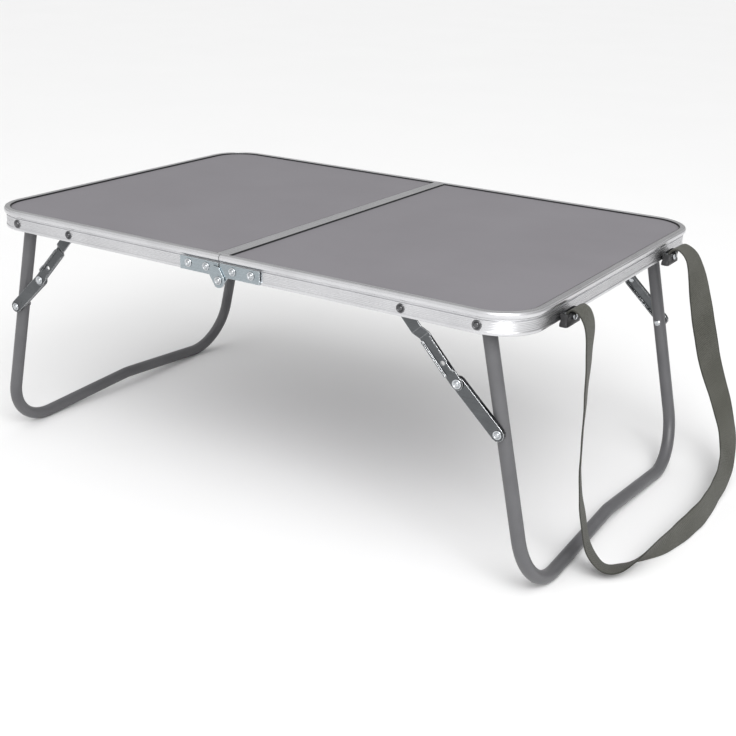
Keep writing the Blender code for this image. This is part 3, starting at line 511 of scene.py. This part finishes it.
webbingSetup = {
    "ribPitch": 0.0026,
    "yarnPitch": 0.0011,
    "weftPitch": 0.0012,
    "ribSlant": 0.9,  # how far a rib runs along for each step away from the middle
    "ribShare": 0.6,
    "yarnShare": 0.4,
    "edgeStart": 0.0112,
    "edgeBlend": 0.0004,
    "fuzzScale": 2600.0,
    "cloudScale": 26.0,
    "speckle": {"scale": 420.0, "detail": 3.0, "roughness": 0.7},
    "speckleShare": 2.4,
    "weaveShare": 0.8,
    "fuzzMiddle": 1.3,
    "toneRange": (-1.0, 1.4),
    "dustRange": (0.35, 0.75),
    "mostDust": 0.35,
    "edgeDark": 0.7,
    "hollow": (0.020, 0.020, 0.016),
    "crown": (0.098, 0.098, 0.084),
    "faded": (0.135, 0.135, 0.122),
    "roughness": (0.95, 0.78),  # of the hollows and of the crowns
    "bump": 0.55,
    "height": 0.00022,
    "sheen": 0.08,
    "sheenRough": 0.5,
    "specular": 0.2,
}


# Twill webbing: slanted ribs that turn at the middle into a chevron, plain selvedges, painted
# shade in the hollows between the yarns, and a little fuzz.
def webbingMaterial(setup):
    material, tree, shader = newMaterial(
        "webbing",
        Metallic=0.0,
        Sheen_Weight=setup["sheen"],
        Sheen_Roughness=setup["sheenRough"],
        Specular_IOR_Level=setup["specular"],
    )
    split = tree.nodes.new("ShaderNodeSeparateXYZ")
    tree.links.new(surfaceCoordinates(tree), split.inputs[0])
    along, across = split.outputs[0], split.outputs[1]
    away = mathNode(tree, "ABSOLUTE", across)
    slant = mathNode(tree, "ADD", along, mathNode(tree, "MULTIPLY", away, setup["ribSlant"]))
    rib = waveNode(tree, slant, setup["ribPitch"])
    yarn = waveNode(tree, across, setup["yarnPitch"])
    weft = waveNode(tree, along, setup["weftPitch"])
    start = setup["edgeStart"]
    edge = mapRange(tree, away, (start, start + setup["edgeBlend"]))
    body = weighted(tree, rib, setup["ribShare"], yarn, setup["yarnShare"])
    selvedge = mathNode(tree, "MULTIPLY", edge, mathNode(tree, "SUBTRACT", weft, body))
    weave = mathNode(tree, "ADD", body, selvedge)
    out = placeGroup(
        tree,
        fineGrain,
        Vector=objectCoordinates(tree),
        Grain_Scale=setup["fuzzScale"],
        Cloud_Scale=setup["cloudScale"],
    )
    speckle = noiseNode(tree, surfaceCoordinates(tree), **setup["speckle"])
    speckle = mathNode(tree, "MULTIPLY", speckle, setup["speckleShare"])
    hairs = mathNode(tree, "ADD", out["Grain"], speckle)
    hairs = mathNode(tree, "SUBTRACT", hairs, setup["fuzzMiddle"])
    fuzz = mathNode(tree, "ADD", mathNode(tree, "MULTIPLY", weave, setup["weaveShare"]), hairs)
    # The colour runs from the painted hollow shade to the crown colour: partly by random fuzz and
    # speckle, partly by the weave, which paints shade into the hollows between the yarns.
    tone = mapRange(tree, fuzz, setup["toneRange"])
    woven = mixColour(tree, tone, setup["hollow"], setup["crown"])
    dusty = mapRange(tree, out["Clouds"], setup["dustRange"], (0.0, setup["mostDust"]))
    faded = mixColour(tree, dusty, woven, setup["faded"])
    # The edges are darkened towards the hollow shade colour.
    darkEdge = mathNode(tree, "MULTIPLY", edge, setup["edgeDark"])
    rough = mapRange(tree, tone, (0.0, 1.0), setup["roughness"])
    tree.links.new(mixColour(tree, darkEdge, faded, setup["hollow"]), shader.inputs["Base Color"])
    tree.links.new(rough, shader.inputs["Roughness"])
    tree.links.new(bumpNode(tree, fuzz, setup["bump"], setup["height"]), shader.inputs["Normal"])
    return material


laminate = coatMaterial(
    "laminate", tone=(0.205, 0.197, 0.212), shade=(0.190, 0.182, 0.196), rough=0.52, depth=0.10,
    grainScale=1400.0, cloudScale=9.0, specular=0.22,
)
legPaint = coatMaterial(
    "leg_paint", tone=(0.105, 0.105, 0.110), shade=(0.085, 0.085, 0.090), rough=0.36, depth=0.25,
    grainScale=2200.0,
)
blackSteel = coatMaterial(
    "black_steel", tone=(0.012, 0.012, 0.013), shade=(0.020, 0.020, 0.021), rough=0.38, depth=0.3,
    grainScale=1800.0,
)
nylon = coatMaterial(
    "nylon", tone=(0.10, 0.10, 0.10), shade=(0.08, 0.08, 0.08), rough=0.5, depth=0.3,
    grainScale=1500.0,
)
# Black for the strips of painted shade in the gaps round the boards.
gapShadeBlack = coatMaterial(
    "gap_shade_black", tone=(0.010, 0.010, 0.011), shade=(0.015, 0.015, 0.016), rough=0.6, depth=0.2,
    grainScale=1500.0,
)
aluminium = metalMaterial(
    "rim_aluminium", surfaceCoordinates, tone=(0.72, 0.72, 0.735), shade=(0.56, 0.56, 0.575),
    rough=0.27, scuffs=0.5,
)
# The last colour given to each of the next three metals is a painted highlight along the edges.
stripAluminium = metalMaterial(
    "strip_aluminium", objectCoordinates, tone=(0.76, 0.76, 0.775), shade=(0.60, 0.60, 0.615),
    rough=0.30, scuffs=0.4, highlightColour=(0.86, 0.86, 0.87),
)
zinc = metalMaterial(
    "zinc_plate", objectCoordinates, tone=(0.44, 0.49, 0.52), shade=(0.24, 0.275, 0.295),
    rough=0.27, scuffs=0.6, lineScale=0.5, depth=0.2, highlightColour=(0.80, 0.84, 0.86),
)
# A darker copy of the zinc plate for the links: painted shade on their faces.
shadedLinkZinc = metalMaterial(
    "shaded_link_zinc", objectCoordinates, tone=(0.150, 0.156, 0.162), shade=(0.060, 0.064, 0.068),
    rough=0.24, scuffs=0.6, lineScale=0.5, depth=0.2, highlightColour=(0.78, 0.80, 0.82),
)
# A darker copy of the rivet metal for the rivets on the rim: painted shade for the dark reflections in
# their domes.
shadedRivet = metalMaterial(
    "shaded_rivet", objectCoordinates, tone=(0.16, 0.16, 0.165), shade=(0.09, 0.09, 0.095),
    rough=0.24, scuffs=0.3, lineScale=0.6, depth=0.1,
)
rivetMetal = metalMaterial(
    "rivet_metal", objectCoordinates, tone=(0.62, 0.64, 0.66), shade=(0.42, 0.44, 0.46),
    rough=0.18, scuffs=0.3, lineScale=0.6, depth=0.1,
)
webbing = webbingMaterial(webbingSetup)
print("materials made")


strap, strapLine, strapLength = makeStrap(strapSetup, webbing)
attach(strap, "right_half")
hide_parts("carry_strap")
print("strap made, metres long:", round(float(strapLength), 4))


rimLow, rimHigh = (np.array(corner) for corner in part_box("right_rim"))
rimSetup = {
    "top": rimHigh[2],
    "halfWidth": rimHigh[1],
    "halfLength": rimHigh[0],
    "seam": rimLow[0],
    "corner": 0.042,
    "cornerPoints": 30,
    "armPoints": 16,
    "endPoints": 14,
    "roundSteps": 6,
    "gapShadeInset": 0.00595,  # from the rim's outer face
    "sharp": 50,
}
ribs = {"count": 12, "face": 2.0, "depth": 0.34, "top": 8.6, "step": 0.70, "rounding": 0.25}
# Section of the extrusion in millimetres: depth in from the bead's face, drop below the lip, and
# corner rounding. The ribs are a zigzag between their face and their depth.
rimSection = (
    (6.0, 1.5, 0.1), (6.0, 0.0, 0.4), (4.3, 0.0, 0.1), (4.1, 0.2, 0.1), (3.9, 0.0, 0.1),
    (2.0, 0.0, 0.6), (0.75, 0.55, 0.4), (0.75, 1.0, 0.15), (0.0, 1.75, 0.6), (0.0, 4.4, 1.3),
    (1.2, 6.1, 0.5), (3.0, 6.3, 0.4), (3.0, 7.6, 0.4), (2.0, 8.1, 0.3),
    *((ribs["face"] + ribs["depth"] * (i % 2), ribs["top"] + ribs["step"] * i, ribs["rounding"])
      for i in range(ribs["count"])),
    (2.0, 16.9, 0.4), (1.6, 17.4, 0.4),
    (1.6, 19.6, 0.5), (2.3, 20.0, 0.5), (3.6, 20.0, 0.4), (4.0, 19.6, 0.3), (4.0, 6.3, 0.1),
    (12.0, 6.3, 0.15), (12.0, 5.1, 0.15), (3.4, 5.1, 0.1), (3.4, 1.5, 0.1),
)


# The half's outer edge from the seam round to the seam, and the inward direction at each
# point: straight runs joined by quarter circles.
def rimPlan(setup, side):
    reach, width, r = setup["halfLength"], setup["halfWidth"], setup["corner"]
    turn = np.linspace(-math.pi / 2, 0, setup["cornerPoints"])
    arms = np.linspace(setup["seam"], reach - r, setup["armPoints"])[:-1]
    backs = np.linspace(r - width, width - r, setup["endPoints"])[1:-1]
    front = np.stack([arms, np.full_like(arms, -width)], 1)
    corner = np.stack([reach - r + r * np.cos(turn), r - width + r * np.sin(turn)], 1)
    end = np.stack([np.full_like(backs, reach), backs], 1)
    inFront = np.tile([0.0, 1.0], (len(front), 1))
    inCorner = -np.stack([np.cos(turn), np.sin(turn)], 1)
    inEnd = np.tile([-1.0, 0.0], (len(end), 1))
    flip = np.array([1.0, -1.0])
    plan = np.concatenate([front, corner, end, (corner * flip)[::-1], (front * flip)[::-1]])
    inward = np.concatenate(
        [inFront, inCorner, inEnd, (inCorner * flip)[::-1], (inFront * flip)[::-1]]
    )
    return plan * [side, 1.0], inward * [side, 1.0]


# Carry a (depth, drop) section round a plan: a point is the plan moved inwards by its depth
# and lowered by its drop. The surface map holds the run along and round, in metres.
def sweepSection(name, plan, inward, section, top, material, closed=False):
    depth, drop = section[:, 0], section[:, 1]
    flat = plan[:, None, :] + inward[:, None, :] * depth[None, :, None]
    height = np.broadcast_to((top - drop)[None, :, None], flat.shape[:2] + (1,))
    grid = np.concatenate([flat, height], -1)
    uv = np.empty(grid.shape[:2] + (2,))
    uv[:, :, 0] = runLengths(plan)[:, None]
    uv[:, :, 1] = runLengths(section)[None, :]
    return putPiece(name, grid, material, rimSetup["sharp"], wrapRows=closed, uv=uv)


section = np.array(rimSection) / 1000
rimOutline = roundedLine(section[:, :2], section[:, 2], rimSetup["roundSteps"])
for side, sign in sides.items():
    plan, inward = rimPlan(rimSetup, sign)
    rim = sweepSection(side + "_rim_extrusion", plan, inward, rimOutline, rimSetup["top"], aluminium)
    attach(rim, side + "_half")
    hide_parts(side + "_rim")
print("rims made")


# A thin black strip in the gap between each board and the lips round it: painted shade, standing in for
# the shadow in that gap.
gapShadeSetup = {
    "width": 0.0009,
    "top": 0.00035,
    "bottom": 0.0018,
    "corner": 0.0002,
    "roundSteps": 4,
    "stripFace": 0.006,  # from the seam to the strip's inner edge
    "lap": 0.00005,  # how far it goes under that edge
    "seamPoints": 12,
}


# A closed loop inside the lips: the rim's inner edge, and back along the seam strip.
def gapShadePlan(setup, side):
    plan, inward = rimPlan(rimSetup, side)
    inner = plan + inward * rimSetup["gapShadeInset"]
    start = setup["stripFace"] - setup["lap"]
    inner[0, 0] = inner[-1, 0] = side * start
    across = np.linspace(inner[-1, 1], inner[0, 1], setup["seamPoints"])[1:-1]
    back = np.stack([np.full_like(across, side * start), across], 1)
    loop = np.concatenate([inner, back])
    turn = np.concatenate([inward, np.tile([side, 0.0], (len(back), 1))])
    turn[0] = (side, 1.0)
    turn[len(inner) - 1] = (side, -1.0)
    return loop, turn


w, a, b = (gapShadeSetup[key] for key in ("width", "top", "bottom"))
gapShadeOutline = roundedLine(
    [(0, a), (w, a), (w, b), (0, b)], gapShadeSetup["corner"], gapShadeSetup["roundSteps"]
)
for side, sign in sides.items():
    loop, turn = gapShadePlan(gapShadeSetup, sign)
    gapShade = sweepSection(
        side + "_board_gapShade", loop, turn, gapShadeOutline, rimSetup["top"], gapShadeBlack, closed=True
    )
    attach(gapShade, side + "_half")
print("gap shade strips made")


legSetup = {
    "splay": math.radians(12.5),
    "pivot": (0.2585, 0.243),
    "tubeY": 0.1785,
    "radius": 0.00625,
    "overhang": 0.0045,
    "footBend": 0.052,
    "rise": 0.0085,
    "railBend": 0.070,
    "footFacet": 0.00015,  # depth of the flat where the tube rests on the floor
    "straightPoints": 12,
    "bendPoints": 26,
    "railPoints": 8,
    "kinkPoints": 7,
    "sides": 28,
    "sharp": 45,
}
# Rings of the rolled lip at a tube end: place along the tube, and share of its radius.
legLip = np.array([[0.0, 0.55], [0.0, 0.8], [-0.0006, 0.93], [-0.0014, 1.0]])


# Half the leg's centre line as (y, distance down the leg): straight, a bend a little over a
# quarter turn, a gently rising rail and a soft kink in the middle; then the same mirrored.
def legLine(setup):
    r, y = setup["footBend"], setup["tubeY"] - setup["footBend"]
    base = setup["radius"] - setup["footFacet"]
    reach = (setup["pivot"][1] - base) / math.cos(setup["splay"])
    slope = math.atan2(setup["rise"], y)
    down = np.linspace(-setup["overhang"], reach - r, setup["straightPoints"])[:-1]
    straight = np.stack([np.full_like(down, setup["tubeY"]), down], 1)
    a = np.linspace(0, math.pi / 2 + slope, setup["bendPoints"])
    bend = np.stack([y + r * np.cos(a), reach - r + r * np.sin(a)], 1)
    k = setup["railBend"]
    crest = k * math.sin(slope)
    crestDrop = bend[-1, 1] - (bend[-1, 0] - crest) * math.tan(slope)
    run = np.linspace(0, 1, setup["railPoints"])[1:-1, None]
    rail = bend[-1] + (np.array([crest, crestDrop]) - bend[-1]) * run
    b = np.linspace(slope, 0, setup["kinkPoints"])
    kink = np.stack([k * np.sin(b), crestDrop - k * (np.cos(b) - math.cos(slope))], 1)
    half = np.concatenate([straight, bend, rail, kink])
    return np.concatenate([half, (half[:-1] * [-1, 1])[::-1]])


# A round tube on the leg's line. The section turns with the line in the leg's own plane, and
# a few smaller rings at each end close it with a rolled lip.
def makeLeg(setup, side, material):
    line = legLine(setup)
    along = unit(np.gradient(line, axis=0))
    a = np.linspace(0, 2 * math.pi, setup["sides"], endpoint=False)
    outward, down = math.sin(setup["splay"]), math.cos(setup["splay"])
    toSpace = np.array([[0, 1, 0], [outward, 0, -down]])
    normal = np.array([down, 0, outward])
    origin = np.array([setup["pivot"][0], 0, setup["pivot"][1]])
    centre = origin + line @ toSpace
    beside = np.stack([-along[:, 1], along[:, 0]], 1) @ toSpace
    ahead = along @ toSpace
    shift, share = legLip[:, :1], legLip[:, 1]
    startRings = centre[0] - ahead[0] * shift
    stopRings = (centre[-1] + ahead[-1] * shift)[::-1]
    centre = np.concatenate([startRings, centre[1:-1], stopRings])
    count = len(legLip)
    beside = np.concatenate(
        [np.repeat(beside[:1], count, 0), beside[1:-1], np.repeat(beside[-1:], count, 0)]
    )
    size = setup["radius"] * np.concatenate([share, np.ones(len(line) - 2), share[::-1]])
    grid = centre[:, None, :] + size[:, None, None] * (
        np.cos(a)[None, :, None] * beside[:, None, :] + np.sin(a)[None, :, None] * normal
    )
    grid[:, :, 2] = np.maximum(grid[:, :, 2], 0)  # the foot just touches the floor
    grid[:, :, 0] *= side
    name = ("left" if side < 0 else "right") + "_leg_tube"
    return putPiece(name, grid, material, setup["sharp"])


for side, sign in sides.items():
    leg = makeLeg(legSetup, sign, legPaint)
    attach(leg, side + "_leg")
    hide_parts(side + "_leg_frame")
print("legs made")


# Head profile of a set rivet: share of the head's radius, and height above the face in mm.
headShape = (
    (0.0, 1.70), (0.20, 1.65), (0.36, 1.48), (0.46, 1.20), (0.52, 0.80), (0.56, 0.45), (0.62, 0.40),
    (0.68, 0.62), (0.76, 0.90), (0.84, 0.96), (0.92, 0.86), (0.985, 0.60), (1.0, 0.42), (1.0, 0.30),
)
# Tail profile: share of the tail's radius, and height above the tail's end in mm.
tailShape = ((1.0, 0.9), (0.94, 0.6), (0.7, 0.2), (0.35, 0.0), (0.0, 0.0))
rivetSetup = {"sides": 36, "sharp": 40}
# Radius of the shank and of the tail. A tail of nought leaves the shank's end plain.
rivetKinds = {
    "leaf": {"shank": 0.002, "tail": 0.003, "metal": rivetMetal},
    "legPivot": {"shank": 0.0025, "tail": 0.004, "metal": shadedRivet},
    "braceRim": {"shank": 0.002, "tail": 0.0032, "metal": shadedRivet},
    "elbow": {"shank": 0.002, "tail": 0.0032, "metal": rivetMetal},
    "braceLeg": {"shank": 0.002, "tail": 0.0, "metal": rivetMetal},
    "seamPin": {"shank": 0.002, "tail": 0.0027, "metal": rivetMetal},
}


# A profile of (radius, height) points turned about the rivet node's own axis: a ringed dome
# outside, a shank and a low domed tail.
def makeRivet(name, body, kind):
    low, high = (np.array(corner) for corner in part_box(name))
    outwards = 1.0 if low[1] + high[1] > 0 else -1.0
    tailEnd, headTop = sorted(np.abs([low[1], high[1]]))
    centre = (low + high) / 2
    radius = (high[0] - low[0]) / 2
    shank = kind["shank"]
    face = headTop - headShape[0][1] / 1000
    profile = [(share * radius, face + height / 1000) for share, height in headShape]
    profile.append((shank, profile[-1][1]))
    if kind["tail"]:
        tail = [(share * kind["tail"], tailEnd + height / 1000) for share, height in tailShape]
        profile += [(shank, tail[0][1]), *tail]
    else:
        profile += [(shank, tailEnd), (0.0, tailEnd)]
    r, y = np.array(profile).T
    a = np.linspace(0, 2 * math.pi, rivetSetup["sides"], endpoint=False)
    across = centre[0] + r[:, None] * np.cos(a)
    up = centre[2] + r[:, None] * np.sin(a)
    grid = np.stack([across, np.broadcast_to(outwards * y[:, None], across.shape), up], -1)
    piece = putPiece(name + "_set", grid, kind["metal"], rivetSetup["sharp"], capped=False)
    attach(piece, body)
    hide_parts(name)


for side in sides:
    half = side + "_half"
    for end in ends:
        corner = side + "_" + end
        brace = corner + "_lower_brace"
        for number in "12":
            makeRivet(f"{corner}_seam_leaf_rivet_{number}", half, rivetKinds["leaf"])
        makeRivet(corner + "_leg_pivot", half, rivetKinds["legPivot"])
        makeRivet(corner + "_brace_rim_rivet", half, rivetKinds["braceRim"])
        makeRivet(corner + "_elbow_rivet", brace, rivetKinds["elbow"])
        makeRivet(corner + "_brace_leg_rivet", brace, rivetKinds["braceLeg"])
for end in ends:
    makeRivet(end + "_seam_pin", "right_half", rivetKinds["seamPin"])
print("rivets made")


sleeveSetup = {
    "wall": 0.0013,
    "corner": 0.0026,
    "cornerPoints": 9,
    "edge": 0.0004,
    "roundSteps": 5,
    "waist": 0.0007,
    "full": 0.2,  # share of the height at each end that keeps its width
    "waistStart": 0.4,  # share of the height where the waist is reached
}
# Profile of a pan head: share of the head's radius, and drop below its top in mm.
panShape = ((1.0, 1.7), (1.0, 1.3), (0.94, 0.5), (0.78, 0.1), (0.62, 0.0))
# Profile of its recess: share of the recess's reach, and drop in mm.
recessShape = ((1.0, 0.0), (0.86, 1.1), (0.0, 1.2))
screwSetup = {
    "shank": 0.0018,
    "head": 0.0035,
    "recess": 0.0019,
    "between": 0.42,  # share of the recess's reach that is left between the arms of the cross
    "armPower": 4,  # higher is a narrower arm
    "turn": 0.4,
    "sides": 48,
    "sharp": 35,
}


# A rounded rectangle seen from above, with the inward direction at each point.
def sleevePlan(low, high, radius, steps):
    turn = np.linspace(0, math.pi / 2, steps)
    quarter = np.arange(4)[:, None] * math.pi / 2 + turn[None, :]
    away = np.stack([np.cos(quarter), np.sin(quarter)], -1)
    signs = np.array([[1, 1], [-1, 1], [-1, -1], [1, -1]])
    centre = (low + high) / 2 + signs * ((high - low) / 2 - radius)
    plan = centre[:, None, :] + radius * away
    return plan.reshape(-1, 2), -away.reshape(-1, 2)


# A flat sleeve round the strap's end: the wall's section, rounded at its rims and drawn in at its
# waist, is carried round the plan.
def makeSleeve(name, setup):
    low, high = (np.array(corner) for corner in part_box(name))
    plan, inward = sleevePlan(low[:2], high[:2], setup["corner"], setup["cornerPoints"])
    wall, waist, tall = setup["wall"], setup["waist"], high[2] - low[2]
    full, drawn = setup["full"] * tall, setup["waistStart"] * tall
    inside = [(0, 0), (wall, 0), (wall, tall), (0, tall)]
    outside = [(0, tall - full), (waist, tall - drawn), (waist, drawn), (0, full)]
    outline = roundedLine(inside + outside, setup["edge"], setup["roundSteps"])
    piece = sweepSection(name + "_sleeve", plan, inward, outline, high[2], blackSteel, closed=True)
    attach(piece, "right_half")
    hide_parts(name)


# A pan head turned about the x axis. Its recess is a cross: the ring there swells and shrinks
# four times round.
def makeScrew(name, setup):
    low, high = (np.array(corner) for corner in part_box(name))
    centre, top = (low + high) / 2, high[0]
    pan = np.array([(share * setup["head"], top - drop / 1000) for share, drop in panShape])
    tip = np.array([(0.0, low[0]), (setup["shank"], low[0]), (setup["shank"], pan[0, 1])])
    recess = np.array([(share * setup["recess"], top - drop / 1000) for share, drop in recessShape])
    a = np.linspace(0, 2 * math.pi, setup["sides"], endpoint=False)
    arms = np.abs(np.cos(2 * a)) ** setup["armPower"]
    cross = setup["between"] + (1 - setup["between"]) * arms
    turned = np.concatenate([tip, pan])
    r = np.concatenate([np.outer(turned[:, 0], np.ones_like(a)), np.outer(recess[:, 0], cross)])
    x = np.concatenate([turned[:, 1], recess[:, 1]])
    across = centre[1] + r * np.cos(a + setup["turn"])
    up = centre[2] + r * np.sin(a + setup["turn"])
    grid = np.stack([np.broadcast_to(x[:, None], r.shape), across, up], -1)
    piece = putPiece(name + "_pan_head", grid, rivetMetal, setup["sharp"], capped=False)
    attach(piece, "right_half")
    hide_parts(name)


for end in ends:
    makeSleeve(end + "_strap_bracket", sleeveSetup)
    makeScrew(end + "_strap_screw", screwSetup)
print("brackets made")


# Give a kept node its finish in every slot it has.
def dress(name, material):
    mesh = nodes[name].data
    if not len(mesh.materials):
        mesh.materials.append(material)
    for i in range(len(mesh.materials)):
        mesh.materials[i] = material


for side in sides:
    dress(side + "_panel", laminate)
    dress(side + "_seam_strip", stripAluminium)
    for end in ends:
        corner = side + "_" + end
        dress(corner + "_seam_leaf", zinc)
        dress(corner + "_upper_link", shadedLinkZinc)
        dress(corner + "_lower_link", shadedLinkZinc)
        dress(corner + "_brace_leg_rivet_tail", rivetMetal)
        dress(corner + "_leg_spacer", nylon)
print("kept pieces dressed")


floorSetup = {
    "reach": 30.0,
    "tone": (0.86, 0.86, 0.86),
    "shade": (0.88, 0.88, 0.88),
    "clouds": {"scale": 3.0, "detail": 2.0, "roughness": 0.5},
    "rough": 0.9,
    "specular": 0.1,
}
lightSetup = {
    "sunAngle": 55,
    "sunPower": 1.1,
    "sunFrom": (0.5, -0.6, 1.0),
    "keyPlace": (1.3, -1.3, 1.5),
    "keySize": 1.2,
    "keyPower": 22.0,
    "aim": (0, 0, 0.15),
    "skyBright": 1.0,
    "skyDim": 0.46,
    "skySeen": 0.95,
    "skyToward": (0.10, -0.75, 0.65),
    "skyRange": (-0.3, 0.9),  # cosines to that direction where it is dim and where it is bright
}


# A lamp at a place, turned so that it points at the table.
def putLamp(kind, place, power, **settings):
    data = bpy.data.lights.new(kind.lower(), kind)
    data.energy = power
    for label, value in settings.items():
        setattr(data, label, value)
    holder = bpy.data.objects.new(kind.lower(), data)
    bpy.context.scene.collection.objects.link(holder)
    place = Vector(place)
    turn = (Vector(lightSetup["aim"]) - place).to_track_quat("-Z", "Y")
    holder.matrix_world = Matrix.Translation(place) @ turn.to_matrix().to_4x4()


# A soft sky that brightens with the cosine between a direction and the brightest one.
def makeSky(setup):
    world = bpy.data.worlds.new("studio")
    bpy.context.scene.world = world
    world.use_nodes = True
    tree = world.node_tree
    toward = tree.nodes.new("ShaderNodeVectorMath")
    toward.operation = "DOT_PRODUCT"
    toward.inputs[1].default_value = Vector(setup["skyToward"]).normalized()
    tree.links.new(tree.nodes.new("ShaderNodeTexCoord").outputs["Generated"], toward.inputs[0])
    levels = (setup["skyDim"], setup["skyBright"])
    level = mapRange(tree, toward.outputs["Value"], setup["skyRange"], levels)
    seen = tree.nodes.new("ShaderNodeLightPath").outputs["Is Camera Ray"]
    strength = mapRange(tree, seen, (0.0, 1.0), (level, setup["skySeen"]))
    background = tree.nodes["Background"]
    background.inputs["Color"].default_value = (1.0, 1.0, 1.0, 1.0)
    tree.links.new(strength, background.inputs["Strength"])


# A square of pale paper, wide enough to reach the horizon.
def makeFloor(setup):
    material, tree, shader = newMaterial(
        "floor_paper", Roughness=setup["rough"], Specular_IOR_Level=setup["specular"]
    )
    mask = noiseNode(tree, objectCoordinates(tree), **setup["clouds"])
    tree.links.new(mixColour(tree, mask, setup["tone"], setup["shade"]), shader.inputs["Base Color"])
    mesh = bpy.data.meshes.new("floor")
    corners = [(x, y, 0) for x, y in ((-1, -1), (1, -1), (1, 1), (-1, 1))]
    mesh.from_pydata((np.array(corners) * setup["reach"]).tolist(), [], [range(4)])
    mesh.materials.append(material)
    floor = bpy.data.objects.new("floor", mesh)
    bpy.context.scene.collection.objects.link(floor)


makeFloor(floorSetup)
sunAngle = math.radians(lightSetup["sunAngle"])
putLamp("SUN", lightSetup["sunFrom"], lightSetup["sunPower"], angle=sunAngle)
putLamp("AREA", lightSetup["keyPlace"], lightSetup["keyPower"], shape="DISK", size=lightSetup["keySize"])
makeSky(lightSetup)
bpy.context.scene.view_settings.view_transform = "Standard"
print("studio made")
